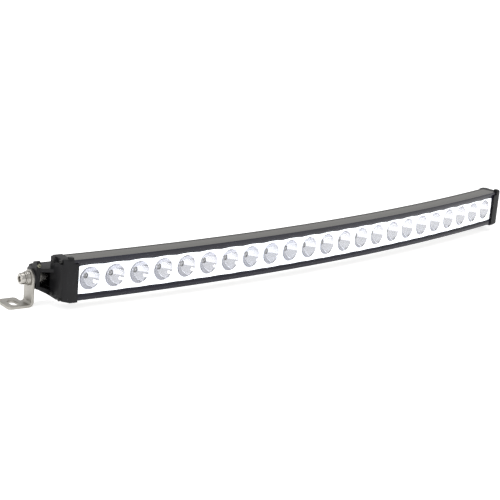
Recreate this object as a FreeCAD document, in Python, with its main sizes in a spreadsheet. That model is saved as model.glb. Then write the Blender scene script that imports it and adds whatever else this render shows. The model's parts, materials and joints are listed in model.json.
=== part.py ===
import FreeCAD, Part
import Sketcher
import math
import os
from types import SimpleNamespace

# A curved single-row LED light bar.  +X is the bar's right, the lit face looks along -Y, +Z is up.
# Z = 0 is the underside of the two mounting feet.  The front face follows a vertical cylinder, so the
# long pieces are profiles turned about that cylinder's axis, and what stands at an end is drawn in the
# end's own frame: U outward along the bar, V to the rear from the front face, W up from mid height.

Vector = FreeCAD.Vector

SIZES = {
    # the bar as a whole
    "front_radius": 3300.0,
    "lamp_count": 23,
    "lamp_pitch": 41.0,
    "end_margin": 21.4,
    "bar_height": 59.0,
    "bar_depth": 31.8,
    "window_height": 40.6,
    # housing extrusion
    "wall": 5.0,
    "rebate_lip": 2.5,
    "floor_depth": 21.0,
    "floor_wall": 3.0,
    "fin_count": 7,
    "fin_thickness": 2.6,
    "boss_depth": 5.0,
    "groove_place": 26.6,
    "groove_width": 1.3,
    "groove_depth": 1.0,
    # front: frame, lens, gasket and glowing panel
    "frame_thickness": 2.0,
    "lens_thickness": 3.0,
    "seal_thickness": 0.7,
    "halo_thickness": 1.5,
    "clearance": 0.3,
    # lamps
    "cup_diameter": 33.4,
    "cup_depth": 11.0,
    "cup_wall": 1.2,
    "cup_lip": 0.7,
    "throat_diameter": 7.6,
    "chip_size": 5.0,
    "chip_height": 1.3,
    "dome_radius": 1.9,
    # boards
    "board_thickness": 1.6,
    "board_width": 26.0,
    "board_gap": 1.0,
    "pad_thickness": 0.3,
    "driver_length": 120.0,
    "driver_width": 11.0,
    "driver_from_end": 102.4,
    "driver_gap": 0.8,
    "driver_lift": 0.4,
    "board_screw_diameter": 2.5,
    "board_screw_head": 4.6,
    "board_screw_head_height": 1.4,
    "board_screw_height": 9.0,
    "hole_room": 0.4,
    "jumper_length": 12.0,
    "jumper_width": 5.0,
    "jumper_height": 2.4,
    # end caps
    "cap_overlap": 8.0,
    "cap_wall": 2.4,
    "cap_fit": 0.1,
    "cap_seal": 0.8,
    "flange_length": 10.0,
    "bevel_length": 4.0,
    "cap_length": 17.0,
    "cap_skin": 3.0,
    "cap_corner": 3.0,
    "seal_margin": 3.0,
    "knob_start": 0.5,
    "knob_length": 6.0,
    "knob_rise": 2.0,
    "recess_front": 5.0,
    "shoulder_drop": 5.0,
    "lip_start": 2.0,
    "block_front": 2.0,
    "block_lift": 0.5,
    "shelf_drop": 5.6,
    "shelf_front": 20.0,
    "shelf_slope": 4.0,
    # arm and ear
    "ear_inner": 33.2,
    "ear_thickness": 6.0,
    "ear_front": 31.5,
    "ear_width": 28.0,
    "ear_low": 17.3,
    "ear_high": 22.3,
    "arm_wall": 4.5,
    "arm_start": 6.0,
    "roof_low": 7.0,
    "roof_high": 12.0,
    "lock_height": 16.8,
    "pivot_back": 43.5,
    "pivot_drop": 3.5,
    # pivot hardware, M10
    "bolt_diameter": 10.0,
    "bolt_head_diameter": 16.0,
    "bolt_head_height": 6.5,
    "bolt_socket": 8.0,
    "bolt_socket_depth": 3.5,
    "bolt_length": 30.0,
    "washer_diameter": 20.0,
    "washer_thickness": 2.5,
    "spring_diameter": 18.1,
    "spring_thickness": 2.2,
    "nut_flats": 17.0,
    "nut_flat_height": 5.5,
    "nut_dome_diameter": 14.0,
    "nut_height": 15.0,
    "nut_bore_depth": 10.0,
    "isolator_thickness": 1.7,
    "running_gap": 0.05,
    "hole_play": 0.25,
    # bracket
    "bracket_thickness": 4.0,
    "bracket_width": 24.0,
    "foot_drop": 42.8,
    "foot_reach": 38.0,
    "foot_width": 39.5,
    "foot_corner": 5.0,
    "bend_inner": 3.5,
    "notch_room": 1.5,
    "slot_width": 12.0,
    "slot_length": 22.0,
    "slot_reach": 19.0,
    "slot_back": 17.5,
    # small screws
    "screw_diameter": 3.0,
    "screw_head_diameter": 5.5,
    "screw_head_height": 3.0,
    "screw_socket": 2.5,
    "cap_screw_length": 22.0,
    "lock_screw_length": 8.0,
    # cable gland and lead
    "gland_thread": 12.0,
    "gland_flats": 15.0,
    "gland_collar": 4.0,
    "gland_neck": 5.0,
    "gland_inside": 4.0,
    "locknut_thickness": 3.0,
    "nose_length": 7.5,
    "cable_bore": 6.4,
    "lead_diameter": 3.0,
    # breather vent
    "vent_diameter": 5.6,
    "vent_height": 3.0,
    "vent_place": -300.0,
}

doc = FreeCAD.newDocument("light_bar")
sheet = doc.addObject("Spreadsheet::Sheet", "Dims")
for row, (alias, value) in enumerate(SIZES.items(), start=1):
    sheet.set(f"A{row}", alias)
    sheet.set(f"B{row}", str(value))
    sheet.setAlias(f"B{row}", alias)
doc.recompute()

# The name of each cell, to be used inside expressions, and the expressions that several pieces share.
d = SimpleNamespace(**{alias: f"Dims.{alias}" for alias in SIZES})

HALF_WINDOW = f"(({d.lamp_count} - 1) / 2 * {d.lamp_pitch} + {d.end_margin})"
HALF_BAR = f"({HALF_WINDOW} + {d.cap_overlap})"
TO_DEGREES = f"(180 / pi / {d.front_radius})"
END_ANGLE = f"({HALF_BAR} * {TO_DEGREES})"
HALF_HEIGHT = f"({d.bar_height} / 2)"
REBATE = f"({HALF_HEIGHT} - {d.rebate_lip})"
CAVITY = f"({HALF_HEIGHT} - {d.wall})"
FIN_ROOT = f"({d.floor_depth} + {d.floor_wall})"
LENS_BACK = f"({d.frame_thickness} + {d.lens_thickness})"
SEAL_BACK = f"({LENS_BACK} + {d.seal_thickness})"
BOARD_BACK = f"({d.floor_depth} - {d.pad_thickness})"
BOARD_FRONT = f"({BOARD_BACK} - {d.board_thickness})"
EAR_OUTER = f"({d.ear_inner} + {d.ear_thickness})"
LEG_INNER = f"({EAR_OUTER} + {d.isolator_thickness} + {d.running_gap})"
LEG_OUTER = f"({LEG_INNER} + {d.bracket_thickness})"
FLAT_WASHER_IN = f"({LEG_OUTER} + {d.running_gap})"
SECOND_WASHER_IN = f"({FLAT_WASHER_IN} + {d.washer_thickness})"
SPRING_IN = f"({SECOND_WASHER_IN} + {d.washer_thickness})"
HEAD_IN = f"({SPRING_IN} + {d.spring_thickness})"
NUT_FACE = f"({d.ear_inner} - {d.washer_thickness})"
FOOT_END = f"({LEG_INNER} + {d.foot_reach})"
FOOT_FRONT = f"({d.pivot_back} - {d.bracket_width} / 2)"
FOOT_BACK = f"({FOOT_FRONT} + {d.foot_width})"
FRONT_SCREW = (f"({SEAL_BACK} + 2.3)", f"({HALF_HEIGHT} - {d.wall} / 2)")
REAR_SCREW = (f"({FIN_ROOT} + 1.5)", f"({HALF_HEIGHT} - {d.fin_thickness} - 3.4)")
BLOCK_LOW = f"({d.block_lift} - {HALF_HEIGHT})"
EAR_BACK = f"({d.ear_front} + {d.ear_width})"
GLAND_DEPTH = f"(({SEAL_BACK} + {d.floor_depth}) / 2)"
DRIVER_PLACE = f"({HALF_WINDOW} - {d.driver_from_end})"
DRIVER_FRONT = f"({SEAL_BACK} + {d.halo_thickness} + {d.driver_gap})"
DRIVER_FLOOR = f"({d.driver_lift} + {d.board_thickness} - {CAVITY})"

# The feet's rear corners are the object's rearmost points and the middle of the frame its foremost.
END_SAG = f"({d.front_radius} * (1 - cos({END_ANGLE})))"
REAR_REACH = (f"({END_SAG} + ({FOOT_END} - {d.foot_corner}) * sin({END_ANGLE})"
              f" + ({FOOT_BACK} - {d.foot_corner}) * cos({END_ANGLE}) + {d.foot_corner})")
FRONT_Y = f"(0 - {REAR_REACH} / 2)"


def number(expression):
    """The value of an expression over the sheet's cells."""
    value = sheet.evalExpression(str(expression))
    return float(getattr(value, "Value", value))


def on_axis(piece):
    """Put a piece's origin on the vertical axis of the front face's cylinder, at mid height."""
    piece.setExpression("Placement.Base.y", f"{d.front_radius} + {FRONT_Y}")
    piece.setExpression("Placement.Base.z", d.foot_drop)
    return piece


def at_right_end(piece):
    """Put a piece's origin at the housing's right end, its X outward and its Y to the rear."""
    piece.Placement = FreeCAD.Placement(Vector(1, 1, 1), FreeCAD.Rotation(Vector(0, 0, 1), 1))
    piece.setExpression("Placement.Base.x", f"{d.front_radius} * sin({END_ANGLE})")
    piece.setExpression("Placement.Base.y", f"{FRONT_Y} + {END_SAG}")
    piece.setExpression("Placement.Base.z", d.foot_drop)
    piece.setExpression("Placement.Rotation.Angle", END_ANGLE)
    return piece


def new_body(label, place=at_right_end):
    body = doc.addObject("PartDesign::Body", label)
    body.Label = label
    return place(body)


def plane_of(body, role):
    return next(item for item in body.Origin.OriginFeatures if item.Role == role)


def new_sketch(body, role, offset="0"):
    """A sketch on one of the body's own origin planes, moved along that plane's normal."""
    sketch = body.newObject("Sketcher::SketchObject", body.Name + "_sketch")
    sketch.AttachmentSupport = [(plane_of(body, role), "")]
    sketch.MapMode = "FlatFace"
    sketch.setExpression("AttachmentOffset.Base.z", offset)
    return sketch


def bind(sketch, index, expression):
    sketch.setExpression(f"Constraints[{index}]", expression)


def draw_outline(sketch, corners, arcs=None):
    """A closed outline through the corners, each held by its two expressions.

    arcs gives, for the edge that leaves a corner, the radius and the side it bulges to:
    1 for the right hand of the way it is drawn and -1 for the left.
    """
    arcs = arcs or {}
    points = [Vector(number(x), number(y), 0) for x, y in corners]
    count = len(points)
    for index in range(count):
        start = points[index]
        end = points[(index + 1) % count]
        if index in arcs:
            radius, side = arcs[index]
            sketch.addGeometry(bulged_edge(start, end, number(radius), side))
        else:
            sketch.addGeometry(Part.LineSegment(start, end))
    for index in range(count):
        ends = edge_ends(index, arcs)
        following = edge_ends((index + 1) % count, arcs)
        joint = ("Coincident", index, ends[1], (index + 1) % count, following[0])
        sketch.addConstraint(Sketcher.Constraint(*joint))
    for index, (x, y) in enumerate(corners):
        start = edge_ends(index, arcs)[0]
        for kind, expression, value in (("DistanceX", x, points[index].x), ("DistanceY", y, points[index].y)):
            held = sketch.addConstraint(Sketcher.Constraint(kind, -1, 1, index, start, value))
            bind(sketch, held, expression)
    for index, (radius, side) in arcs.items():
        held = sketch.addConstraint(Sketcher.Constraint("Radius", index, number(radius)))
        bind(sketch, held, radius)


def bulged_edge(start, end, radius, side):
    """The shorter arc of a radius from start to end."""
    chord = end - start
    across = Vector(chord.y, -chord.x, 0).normalize() * side
    half = chord.Length / 2
    rise = radius - math.sqrt(max(radius * radius - half * half, 0.0))
    return Part.Arc(start, (start + end) / 2 + across * rise, end)


def edge_ends(index, arcs):
    """Which of an edge's two points is its start and which its end, as the sketch numbers them."""
    if index in arcs and arcs[index][1] < 0:
        return 2, 1
    return 1, 2


def draw_circle(sketch, x, y, diameter):
    centre = Vector(number(x), number(y), 0)
    index = sketch.addGeometry(Part.Circle(centre, Vector(0, 0, 1), number(diameter) / 2))
    for kind, expression, value in (("DistanceX", x, centre.x), ("DistanceY", y, centre.y)):
        held = sketch.addConstraint(Sketcher.Constraint(kind, -1, 1, index, 3, value))
        bind(sketch, held, expression)
    held = sketch.addConstraint(Sketcher.Constraint("Diameter", index, number(diameter)))
    bind(sketch, held, diameter)


def draw_rectangle(sketch, x1, y1, x2, y2):
    draw_outline(sketch, [(x1, y1), (x2, y1), (x2, y2), (x1, y2)])


def draw_hexagon(sketch, x, y, flats):
    corners = []
    for turn in range(6):
        angle = 60 * turn
        corners.append((f"{x} + {flats} / sqrt(3) * cos({angle})", f"{y} + {flats} / sqrt(3) * sin({angle})"))
    draw_outline(sketch, corners)


def pad(body, sketch, length):
    """Grow a sketch along its plane's own normal."""
    feature = body.newObject("PartDesign::Pad", body.Name + "_pad")
    feature.Profile = sketch
    feature.setExpression("Length", length)
    sketch.Visibility = False
    return feature


def pocket(body, sketch, length):
    """Cut a sketch out, along its plane's own normal."""
    feature = body.newObject("PartDesign::Pocket", body.Name + "_pocket")
    feature.Profile = sketch
    feature.setExpression("Length", length)
    feature.Reversed = True
    sketch.Visibility = False
    return feature


def revolve(body, sketch, half_angle=None):
    """Turn a sketch about the body's Z axis, all the way or as far each side as half_angle says."""
    feature = body.newObject("PartDesign::Revolution", body.Name + "_turn")
    feature.Profile = sketch
    feature.ReferenceAxis = (sketch, ["V_Axis"])
    if half_angle is None:
        feature.Angle = 360
    else:
        feature.Midplane = True
        feature.setExpression("Angle", f"2 * {half_angle}")
    sketch.Visibility = False
    return feature


def long_profile(label, corners, half_length=HALF_BAR):
    """A profile of (depth behind the front, height) corners carried along the curve of the bar."""
    body = new_body(label, on_axis)
    sketch = new_sketch(body, "YZ_Plane")
    draw_outline(sketch, [(f"{depth} - {d.front_radius}", height) for depth, height in corners])
    revolve(body, sketch, f"({half_length} * {TO_DEGREES})")
    return body


def band(label, front, back, low, high, half_length=HALF_BAR):
    """A plain strip along the bar."""
    return long_profile(label, [(front, low), (back, low), (back, high), (front, high)], half_length)


def cut(label, base, tool):
    result = doc.addObject("Part::Cut", label)
    result.Base = base
    result.Tool = tool
    base.Label = label + "_blank"
    tool.Label = label + "_cutter"
    result.Label = label
    return result


def group(label, shapes):
    """Equal pieces, each a solid of its own, kept together under one name."""
    holder = doc.addObject("Part::Feature", label)
    holder.Shape = Part.makeCompound(shapes)
    holder.Label = label
    return holder


def mirrored(source, label):
    twin = doc.addObject("Part::Mirroring", label)
    twin.Source = source
    twin.Normal = Vector(1, 0, 0)
    twin.Label = label
    return twin


def bar_place(distance, depth=0.0, height=0.0):
    """The placement at a distance along the front curve: X along the bar, Y to the rear, Z up."""
    radius = number(d.front_radius)
    angle = distance / radius
    inner = radius - depth
    base = Vector(inner * math.sin(angle), number(FRONT_Y) + radius - inner * math.cos(angle),
                  number(d.foot_drop) + height)
    return FreeCAD.Placement(base, FreeCAD.Rotation(Vector(0, 0, 1), math.degrees(angle)))


def end_place():
    return bar_place(number(HALF_BAR))


def moved(shape, placement):
    copy = shape.copy()
    copy.Placement = placement
    return copy


def flip(shape):
    return shape.mirror(Vector(0, 0, 0), Vector(1, 0, 0))


def lamp_distances():
    count = int(number(d.lamp_count))
    return [(index - (count - 1) / 2) * number(d.lamp_pitch) for index in range(count)]


def rod(axis, start, length, diameter):
    return Part.makeCylinder(diameter / 2, length, start, axis)


# ---------------------------------------------------------------- the housing and its front

def end_screw_places():
    """(depth, height) of the four screws of one cap: two in front and two in the rear bosses."""
    front = (number(FRONT_SCREW[0]), number(FRONT_SCREW[1]))
    rear = (number(REAR_SCREW[0]), number(REAR_SCREW[1]))
    return [(depth, side * height) for depth, height in (front, rear) for side in (1, -1)]


def housing():
    """Extrusion: open front with a rebate for the lens, solid top and bottom, finned back."""
    top = HALF_HEIGHT
    groove_end = f"({d.groove_place} + {d.groove_width})"
    groove_floor = f"({top} - {d.groove_depth})"
    corners = [(d.frame_thickness, top), (d.groove_place, top), (d.groove_place, groove_floor),
               (groove_end, groove_floor), (groove_end, top), (d.bar_depth, top)]
    gap = f"(({d.bar_height} - {d.fin_count} * {d.fin_thickness}) / ({d.fin_count} - 1))"
    gaps = int(number(d.fin_count)) - 1
    for index in range(gaps):
        upper = f"({top} - {d.fin_thickness} - {index} * ({d.fin_thickness} + {gap}))"
        lower = f"({upper} - {gap})"
        holds_screw = index in (0, gaps - 1)
        root = f"({FIN_ROOT} + {d.boss_depth})" if holds_screw else FIN_ROOT
        corners += [(d.bar_depth, upper), (root, upper), (root, lower), (d.bar_depth, lower)]
    corners += [(d.bar_depth, f"0 - {top}"), (d.frame_thickness, f"0 - {top}"),
                (d.frame_thickness, f"0 - {REBATE}"), (SEAL_BACK, f"0 - {REBATE}"),
                (SEAL_BACK, f"0 - {CAVITY}"), (d.floor_depth, f"0 - {CAVITY}"),
                (d.floor_depth, CAVITY), (SEAL_BACK, CAVITY), (SEAL_BACK, REBATE), (d.frame_thickness, REBATE)]
    blank = long_profile("housing_profile", corners)
    depth = number(d.cap_screw_length)
    holes = [moved(rod(Vector(-1, 0, 0), Vector(1, place, height), depth, number(d.screw_diameter) + 0.1),
                   end_place()) for place, height in end_screw_places()]
    cutter = group("housing_screw_holes", holes + [flip(hole) for hole in holes])
    return cut("housing", blank, cutter)


def front_frame():
    """Glossy face frame: one plate with the long window cut through it."""
    blank = band("front_frame_plate", "0", d.frame_thickness, f"0 - {HALF_HEIGHT}", HALF_HEIGHT)
    half = f"({d.window_height} / 2)"
    opening = band("front_frame_opening", "0 - 1", f"{d.frame_thickness} + 1", f"0 - {half}", half, HALF_WINDOW)
    return cut("front_frame", blank, opening)


def front_lens():
    edge = f"({REBATE} - {d.clearance} / 2)"
    return band("front_lens", d.frame_thickness, LENS_BACK, f"0 - {edge}", edge)


def lens_gasket():
    """Flat ring between the lens and the ledge of the housing."""
    edge = f"({REBATE} - {d.clearance} / 2)"
    blank = band("lens_gasket_sheet", LENS_BACK, SEAL_BACK, f"0 - {edge}", edge)
    opening = band("lens_gasket_opening", f"{LENS_BACK} - 1", f"{SEAL_BACK} + 1",
                   f"0 - {CAVITY}", CAVITY, f"({HALF_WINDOW} + 3)")
    return cut("lens_gasket", blank, opening)


def halo_panel():
    """White light-guide panel around the lamps, with a round hole for each cup."""
    edge = f"({CAVITY} - {d.clearance})"
    back = f"({SEAL_BACK} + {d.halo_thickness})"
    blank = band("halo_panel_sheet", SEAL_BACK, back, f"0 - {edge}", edge, f"({HALF_WINDOW} + 2)")
    diameter = number(d.cup_diameter) + 2 * number(d.clearance)
    hole = rod(Vector(0, 1, 0), Vector(0, 0, 0), number(d.floor_depth), diameter)
    holes = [moved(hole, bar_place(distance)) for distance in lamp_distances()]
    return cut("halo_panel", blank, group("halo_panel_holes", holes))


# ---------------------------------------------------------------- lamps and boards

def cup_curve(steps=12):
    """Points (radius, depth) of a parabola from the throat, at the cup's depth, to the inside of the lip."""
    throat = number(d.throat_diameter) / 2
    mouth = number(d.cup_diameter) / 2 - number(d.cup_lip)
    points = []
    for step in range(steps + 1):
        radius = throat + (mouth - throat) * step / steps
        share = (radius ** 2 - throat ** 2) / (mouth ** 2 - throat ** 2)
        points.append(Vector(radius, number(d.cup_depth) * (1 - share), 0))
    return points


def reflector_cups():
    """Bright parabolic cups, one over each emitter, their flat lips level with the panel's front."""
    rim = number(d.cup_diameter) / 2
    behind = Vector(0, number(d.cup_wall), 0)
    inside = cup_curve()
    outside = [point + behind for point in inside]
    curve, back = Part.BSplineCurve(), Part.BSplineCurve()
    curve.interpolate(inside)
    back.interpolate(outside)
    lip = [inside[-1], Vector(rim, 0, 0), Vector(rim, behind.y, 0), outside[-1]]
    edges = [curve.toShape(), back.toShape(), Part.LineSegment(outside[0], inside[0]).toShape()]
    edges += [Part.LineSegment(start, end).toShape() for start, end in zip(lip, lip[1:])]
    face = Part.Face(Part.Wire(Part.__sortEdges__(edges)))
    cup = face.revolve(Vector(0, 0, 0), Vector(0, 1, 0), 360)
    front = number(SEAL_BACK)
    return group("reflector_cups", [moved(cup, bar_place(distance, front)) for distance in lamp_distances()])


def led_emitters():
    """A square package with a round lens, in the throat of each cup."""
    size = number(d.chip_size)
    height = number(d.chip_height)
    package = Part.makeBox(size, height, size, Vector(-size / 2, -height, -size / 2))
    dome = Part.makeSphere(number(d.dome_radius), Vector(0, -height, 0), Vector(0, -1, 0), 0, 90, 360)
    emitter = package.fuse(dome).removeSplitter()
    front = number(BOARD_FRONT)
    return group("led_emitters", [moved(emitter, bar_place(distance, front)) for distance in lamp_distances()])


def board_spans():
    """The lamps that each of the three boards carries, as (name, first, last)."""
    count = int(number(d.lamp_count))
    side = (count + 1) // 3
    return [("left", 0, side - 1), ("centre", side, count - side - 1), ("right", count - side, count - 1)]


def led_boards():
    """Three narrow boards end to end, bent to the curve of the housing's floor."""
    distances = lamp_distances()
    pitch = number(d.lamp_pitch)
    radius = number(d.front_radius)
    boards = []
    half = number(d.board_width) / 2
    for name, first, last in board_spans():
        reach = pitch / 2 - number(d.board_gap) / 2
        start = distances[first] - (reach if first else min(reach, number(d.end_margin) / 2))
        end = distances[last] + (reach if last < len(distances) - 1 else min(reach, number(d.end_margin) / 2))
        section = Part.makePolygon([Vector(0, y, z) for y, z in (
            (number(BOARD_FRONT) - radius, -half), (number(BOARD_BACK) - radius, -half),
            (number(BOARD_BACK) - radius, half), (number(BOARD_FRONT) - radius, half),
            (number(BOARD_FRONT) - radius, -half))])
        strip = Part.Face(section).revolve(Vector(0, 0, 0), Vector(0, 0, 1), math.degrees((end - start) / radius))
        strip.rotate(Vector(0, 0, 0), Vector(0, 0, 1), math.degrees(start / radius))
        strip.translate(Vector(0, number(FRONT_Y) + radius, number(d.foot_drop)))
        for place, height in board_screw_places(first, last):
            strip = strip.cut(moved(board_screw_hole(), bar_place(place, number(BOARD_FRONT), height)))
        boards.append(group("led_board_" + name, [strip.Solids[0]]))
    return boards


def board_screw_places(first, last):
    """Screws half-way between lamps, near both ends of a board, above and below."""
    distances = lamp_distances()
    half_pitch = number(d.lamp_pitch) / 2
    height = number(d.board_screw_height)
    return [(place, side * height) for place in (distances[first] + half_pitch, distances[last] - half_pitch)
            for side in (1, -1)]


def small_screw(length, socket=True):
    """A cap screw of the small size, head towards -Y and its seat at the origin."""
    head = rod(Vector(0, -1, 0), Vector(0, 0, 0), number(d.screw_head_height), number(d.screw_head_diameter))
    shank = rod(Vector(0, 1, 0), Vector(0, 0, 0), length, number(d.screw_diameter))
    screw = head.fuse(shank).removeSplitter()
    if socket:
        across = number(d.screw_socket) / math.sqrt(3)
        corners = [Vector(across * math.cos(math.radians(60 * turn)), 0, across * math.sin(math.radians(60 * turn)))
                   for turn in range(7)]
        depth = number(d.screw_head_height) / 2
        prism = Part.Face(Part.makePolygon(corners)).extrude(Vector(0, depth, 0))
        prism.translate(Vector(0, -number(d.screw_head_height), 0))
        screw = screw.cut(prism)
    return screw


def board_screws():
    """Low round-headed screws that press the boards on the housing's floor."""
    head = rod(Vector(0, -1, 0), Vector(0, 0, 0), number(d.board_screw_head_height), number(d.board_screw_head))
    shank = rod(Vector(0, 1, 0), Vector(0, 0, 0), number(d.board_thickness) + number(d.pad_thickness),
                number(d.board_screw_diameter))
    screw = head.fuse(shank).removeSplitter()
    places = [place for name, first, last in board_spans() for place in board_screw_places(first, last)]
    return group("board_screws", [moved(screw, bar_place(s, number(BOARD_FRONT), height)) for s, height in places])


def board_screw_hole():
    """A rod along the depth, a little wider than the board screw, that passes through board and pad."""
    reach = number(d.floor_depth)
    return rod(Vector(0, 1, 0), Vector(0, -reach / 4, 0), reach, number(d.board_screw_diameter) + number(d.hole_room))


def board_jumpers():
    """Two-part connectors that bridge the gaps between neighbouring boards."""
    length, width, height = number(d.jumper_length), number(d.jumper_width), number(d.jumper_height)
    block = Part.makeBox(length, height, width, Vector(-length / 2, -height, -width / 2))
    distances = lamp_distances()
    pitch = number(d.lamp_pitch)
    places = [distances[last] + pitch / 2 for name, first, last in board_spans()[:-1]]
    return group("board_jumpers", [moved(block, bar_place(place, number(BOARD_FRONT), 0)) for place in places])


def thermal_pad():
    """Soft heat-conducting strip between the boards and the floor, with holes for the board screws."""
    half = f"({d.board_width} / 2)"
    blank = band("thermal_pad_strip", BOARD_BACK, d.floor_depth, f"0 - {half}", half,
                 f"({HALF_WINDOW} - {d.end_margin} / 2)")
    places = [place for name, first, last in board_spans() for place in board_screw_places(first, last)]
    holes = [moved(board_screw_hole(), bar_place(s, number(BOARD_FRONT), height)) for s, height in places]
    return cut("thermal_pad", blank, group("thermal_pad_holes", holes))


def driver_board():
    """Current driver: a straight board lying on the cavity's bottom wall near the right end."""
    length = number(d.driver_length)
    width = number(d.driver_width)
    thickness = number(d.board_thickness)
    board = Part.makeBox(length, width, thickness, Vector(-length / 2, number(DRIVER_FRONT), -thickness))
    return group("driver_board", [moved(board, driver_place())])


def driver_place():
    """The placement of the driver board's upper face, at the middle of its length."""
    return bar_place(number(DRIVER_PLACE), 0, number(DRIVER_FLOOR))


def driver_parts(label, make_part, shares):
    """Components in a row on the driver board, at shares of its length."""
    middle = number(DRIVER_FRONT) + number(d.driver_width) / 2
    length = number(d.driver_length)
    row = []
    for share in shares:
        part = make_part()
        part.translate(Vector((share - 0.5) * length, middle, 0))
        row.append(moved_by(part, driver_place()))
    return group(label, row)


def moved_by(shape, placement):
    copy = shape.copy()
    copy.Placement = placement.multiply(copy.Placement)
    return copy


def coil():
    return Part.makeBox(9, 9, 4.5, Vector(-4.5, -4.5, 0)).fuse(Part.makeCylinder(3.2, 5.2)).removeSplitter()


def capacitor():
    return Part.makeCylinder(3, 5.6).fuse(Part.makeBox(6.4, 6.4, 0.8, Vector(-3.2, -3.2, 0))).removeSplitter()


def transistor():
    return Part.makeBox(6, 5, 1.8, Vector(-3, -2.5, 0))


# ---------------------------------------------------------------- end caps

def cap_gasket():
    """Flat seal on the cut end of the housing, with holes for the screws and for the inside."""
    body = new_body("right_cap_gasket")
    outline = new_sketch(body, "YZ_Plane")
    draw_rectangle(outline, "0", f"0 - {HALF_HEIGHT}", d.bar_depth, HALF_HEIGHT)
    pad(body, outline, d.cap_seal)
    inside = new_sketch(body, "YZ_Plane")
    draw_rectangle(inside, f"{SEAL_BACK} + {d.seal_margin}", f"{d.seal_margin} - {CAVITY}",
                   f"{d.floor_depth} - {d.seal_margin}", f"{CAVITY} - {d.seal_margin}")
    pocket(body, inside, d.cap_seal)
    for place, height in (FRONT_SCREW, REAR_SCREW):
        for side in ("1", "-1"):
            hole = new_sketch(body, "YZ_Plane")
            draw_circle(hole, place, f"{side} * {height}", f"{d.screw_diameter} + {d.hole_room}")
            pocket(body, hole, d.cap_seal)
    return body


def end_cap(label, with_gland):
    """Cast cap: a sleeve over the housing's end, a bevelled flange, and an arm with the pivot ear."""
    body = new_body(label)
    front = f"(0 - {d.cap_wall})"
    back = f"({d.bar_depth} + {d.cap_wall})"
    top = f"({HALF_HEIGHT} + {d.cap_wall})"
    nose = f"({d.flange_length} + {d.bevel_length})"
    add_flange(body, front, back, top, nose)
    add_outer_block(body, back, nose)
    add_arm(body, back)
    add_ear(body)
    hollow_cap(body)
    cut_recess(body, front, back, top, nose)
    bevel_flange(body, front, back, top, nose)
    drill_cap(body, with_gland)
    return body


def add_flange(body, front, back, top, nose):
    """The sleeve and flange, with a raised knob along the upper front edge."""
    corner = d.cap_corner
    sketch = new_sketch(body, "YZ_Plane", f"0 - {d.cap_overlap}")
    outline = [(f"{front} + {corner}", f"0 - {top}"), (f"{back} - {corner}", f"0 - {top}"),
               (back, f"{corner} - {top}"), (back, f"{top} - {corner}"), (f"{back} - {corner}", top),
               (f"{front} + {corner}", top), (front, f"{top} - {corner}"), (front, f"{corner} - {top}")]
    arcs = {1: (corner, 1), 3: (corner, 1), 5: (corner, 1), 7: (corner, 1)}
    draw_outline(sketch, outline, arcs)
    pad(body, sketch, f"{d.cap_overlap} + {nose}")
    knob = new_sketch(body, "YZ_Plane", d.knob_start)
    draw_rectangle(knob, f"{front} + 1", f"{top} - 4", d.recess_front, f"{top} + {d.knob_rise}")
    pad(body, knob, d.knob_length)


def add_outer_block(body, back, nose):
    """The part outboard of the flange, cut back in front so that two screws are reached."""
    sketch = new_sketch(body, "YZ_Plane", f"{nose} - 1")
    shelf = f"({HALF_HEIGHT} - {d.shelf_drop})"
    shelf_end = f"({d.shelf_front} + {d.shelf_slope})"
    low = BLOCK_LOW
    rear = f"({d.cap_corner} * 2)"
    beside_screw = f"({FRONT_SCREW[0]} + {d.screw_head_diameter} / 2 + {d.hole_room} * 2)"
    draw_outline(sketch, [(d.block_front, f"0 - {shelf}"), (beside_screw, f"0 - {shelf}"), (f"{beside_screw} + 2", low),
                          (f"{back} - {rear}", low), (back, f"{low} + {rear}"),
                          (back, f"{HALF_HEIGHT} - {d.cap_corner}"), (f"{back} - {d.cap_corner}", HALF_HEIGHT),
                          (shelf_end, HALF_HEIGHT), (d.shelf_front, shelf), (d.block_front, shelf)],
                 {3: (rear, 1), 5: (d.cap_corner, 1)})
    pad(body, sketch, f"{d.cap_length} - {nose} + 1")


def add_arm(body, back):
    """Root block, roof, sloping floor and back wall that carry the ear and leave the nut in the open."""
    start = f"(0 - {d.arm_start})"
    root = new_sketch(body, "YZ_Plane", start)
    draw_outline(root, [(f"{back} - 2", "0 - 27"), (EAR_BACK, "0 - 20"), (EAR_BACK, f"{d.roof_high} - 3"),
                        (f"{back} - 2", f"{d.roof_high} + 3")])
    pad(body, root, f"{d.arm_start} + 8")
    roof = new_sketch(body, "XY_Plane", d.roof_low)
    draw_outline(roof, [(start, f"{back} - 2"), ("10", "24"), (d.cap_length, "24"),
                        (d.ear_inner, d.ear_front), (EAR_OUTER, d.ear_front), (EAR_OUTER, f"{EAR_BACK} - 4"),
                        (f"{EAR_OUTER} - {d.ear_thickness}", EAR_BACK), (start, EAR_BACK)])
    pad(body, roof, f"{d.roof_high} - {d.roof_low}")
    floor = new_sketch(body, "XZ_Plane", f"0 - {EAR_BACK}")
    draw_outline(floor, [("2", BLOCK_LOW), (d.cap_length, BLOCK_LOW), ("23.2", "0 - 25"), (f"{EAR_OUTER} - 3", "0 - 18"),
                         (EAR_OUTER, f"0.3 - {d.ear_low}"), (EAR_OUTER, "0 - 12.5"), ("24", "0 - 17.5"),
                         ("12", "0 - 24"), ("2", "0 - 25")])
    pad(body, floor, f"{EAR_BACK} - {d.ear_front} + 0.5")
    wall = new_sketch(body, "XZ_Plane", f"0 - {EAR_BACK}")
    draw_outline(wall, [("2", "0 - 28"), ("14", "0 - 28"), ("24", "0 - 20"), (EAR_OUTER, "0 - 15"),
                        (EAR_OUTER, f"{d.roof_low} - 1"), (f"{EAR_OUTER} - {d.ear_thickness}", f"{d.roof_high} - 1"),
                        ("2", f"{d.roof_high} - 1")])
    pad(body, wall, d.arm_wall)


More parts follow.
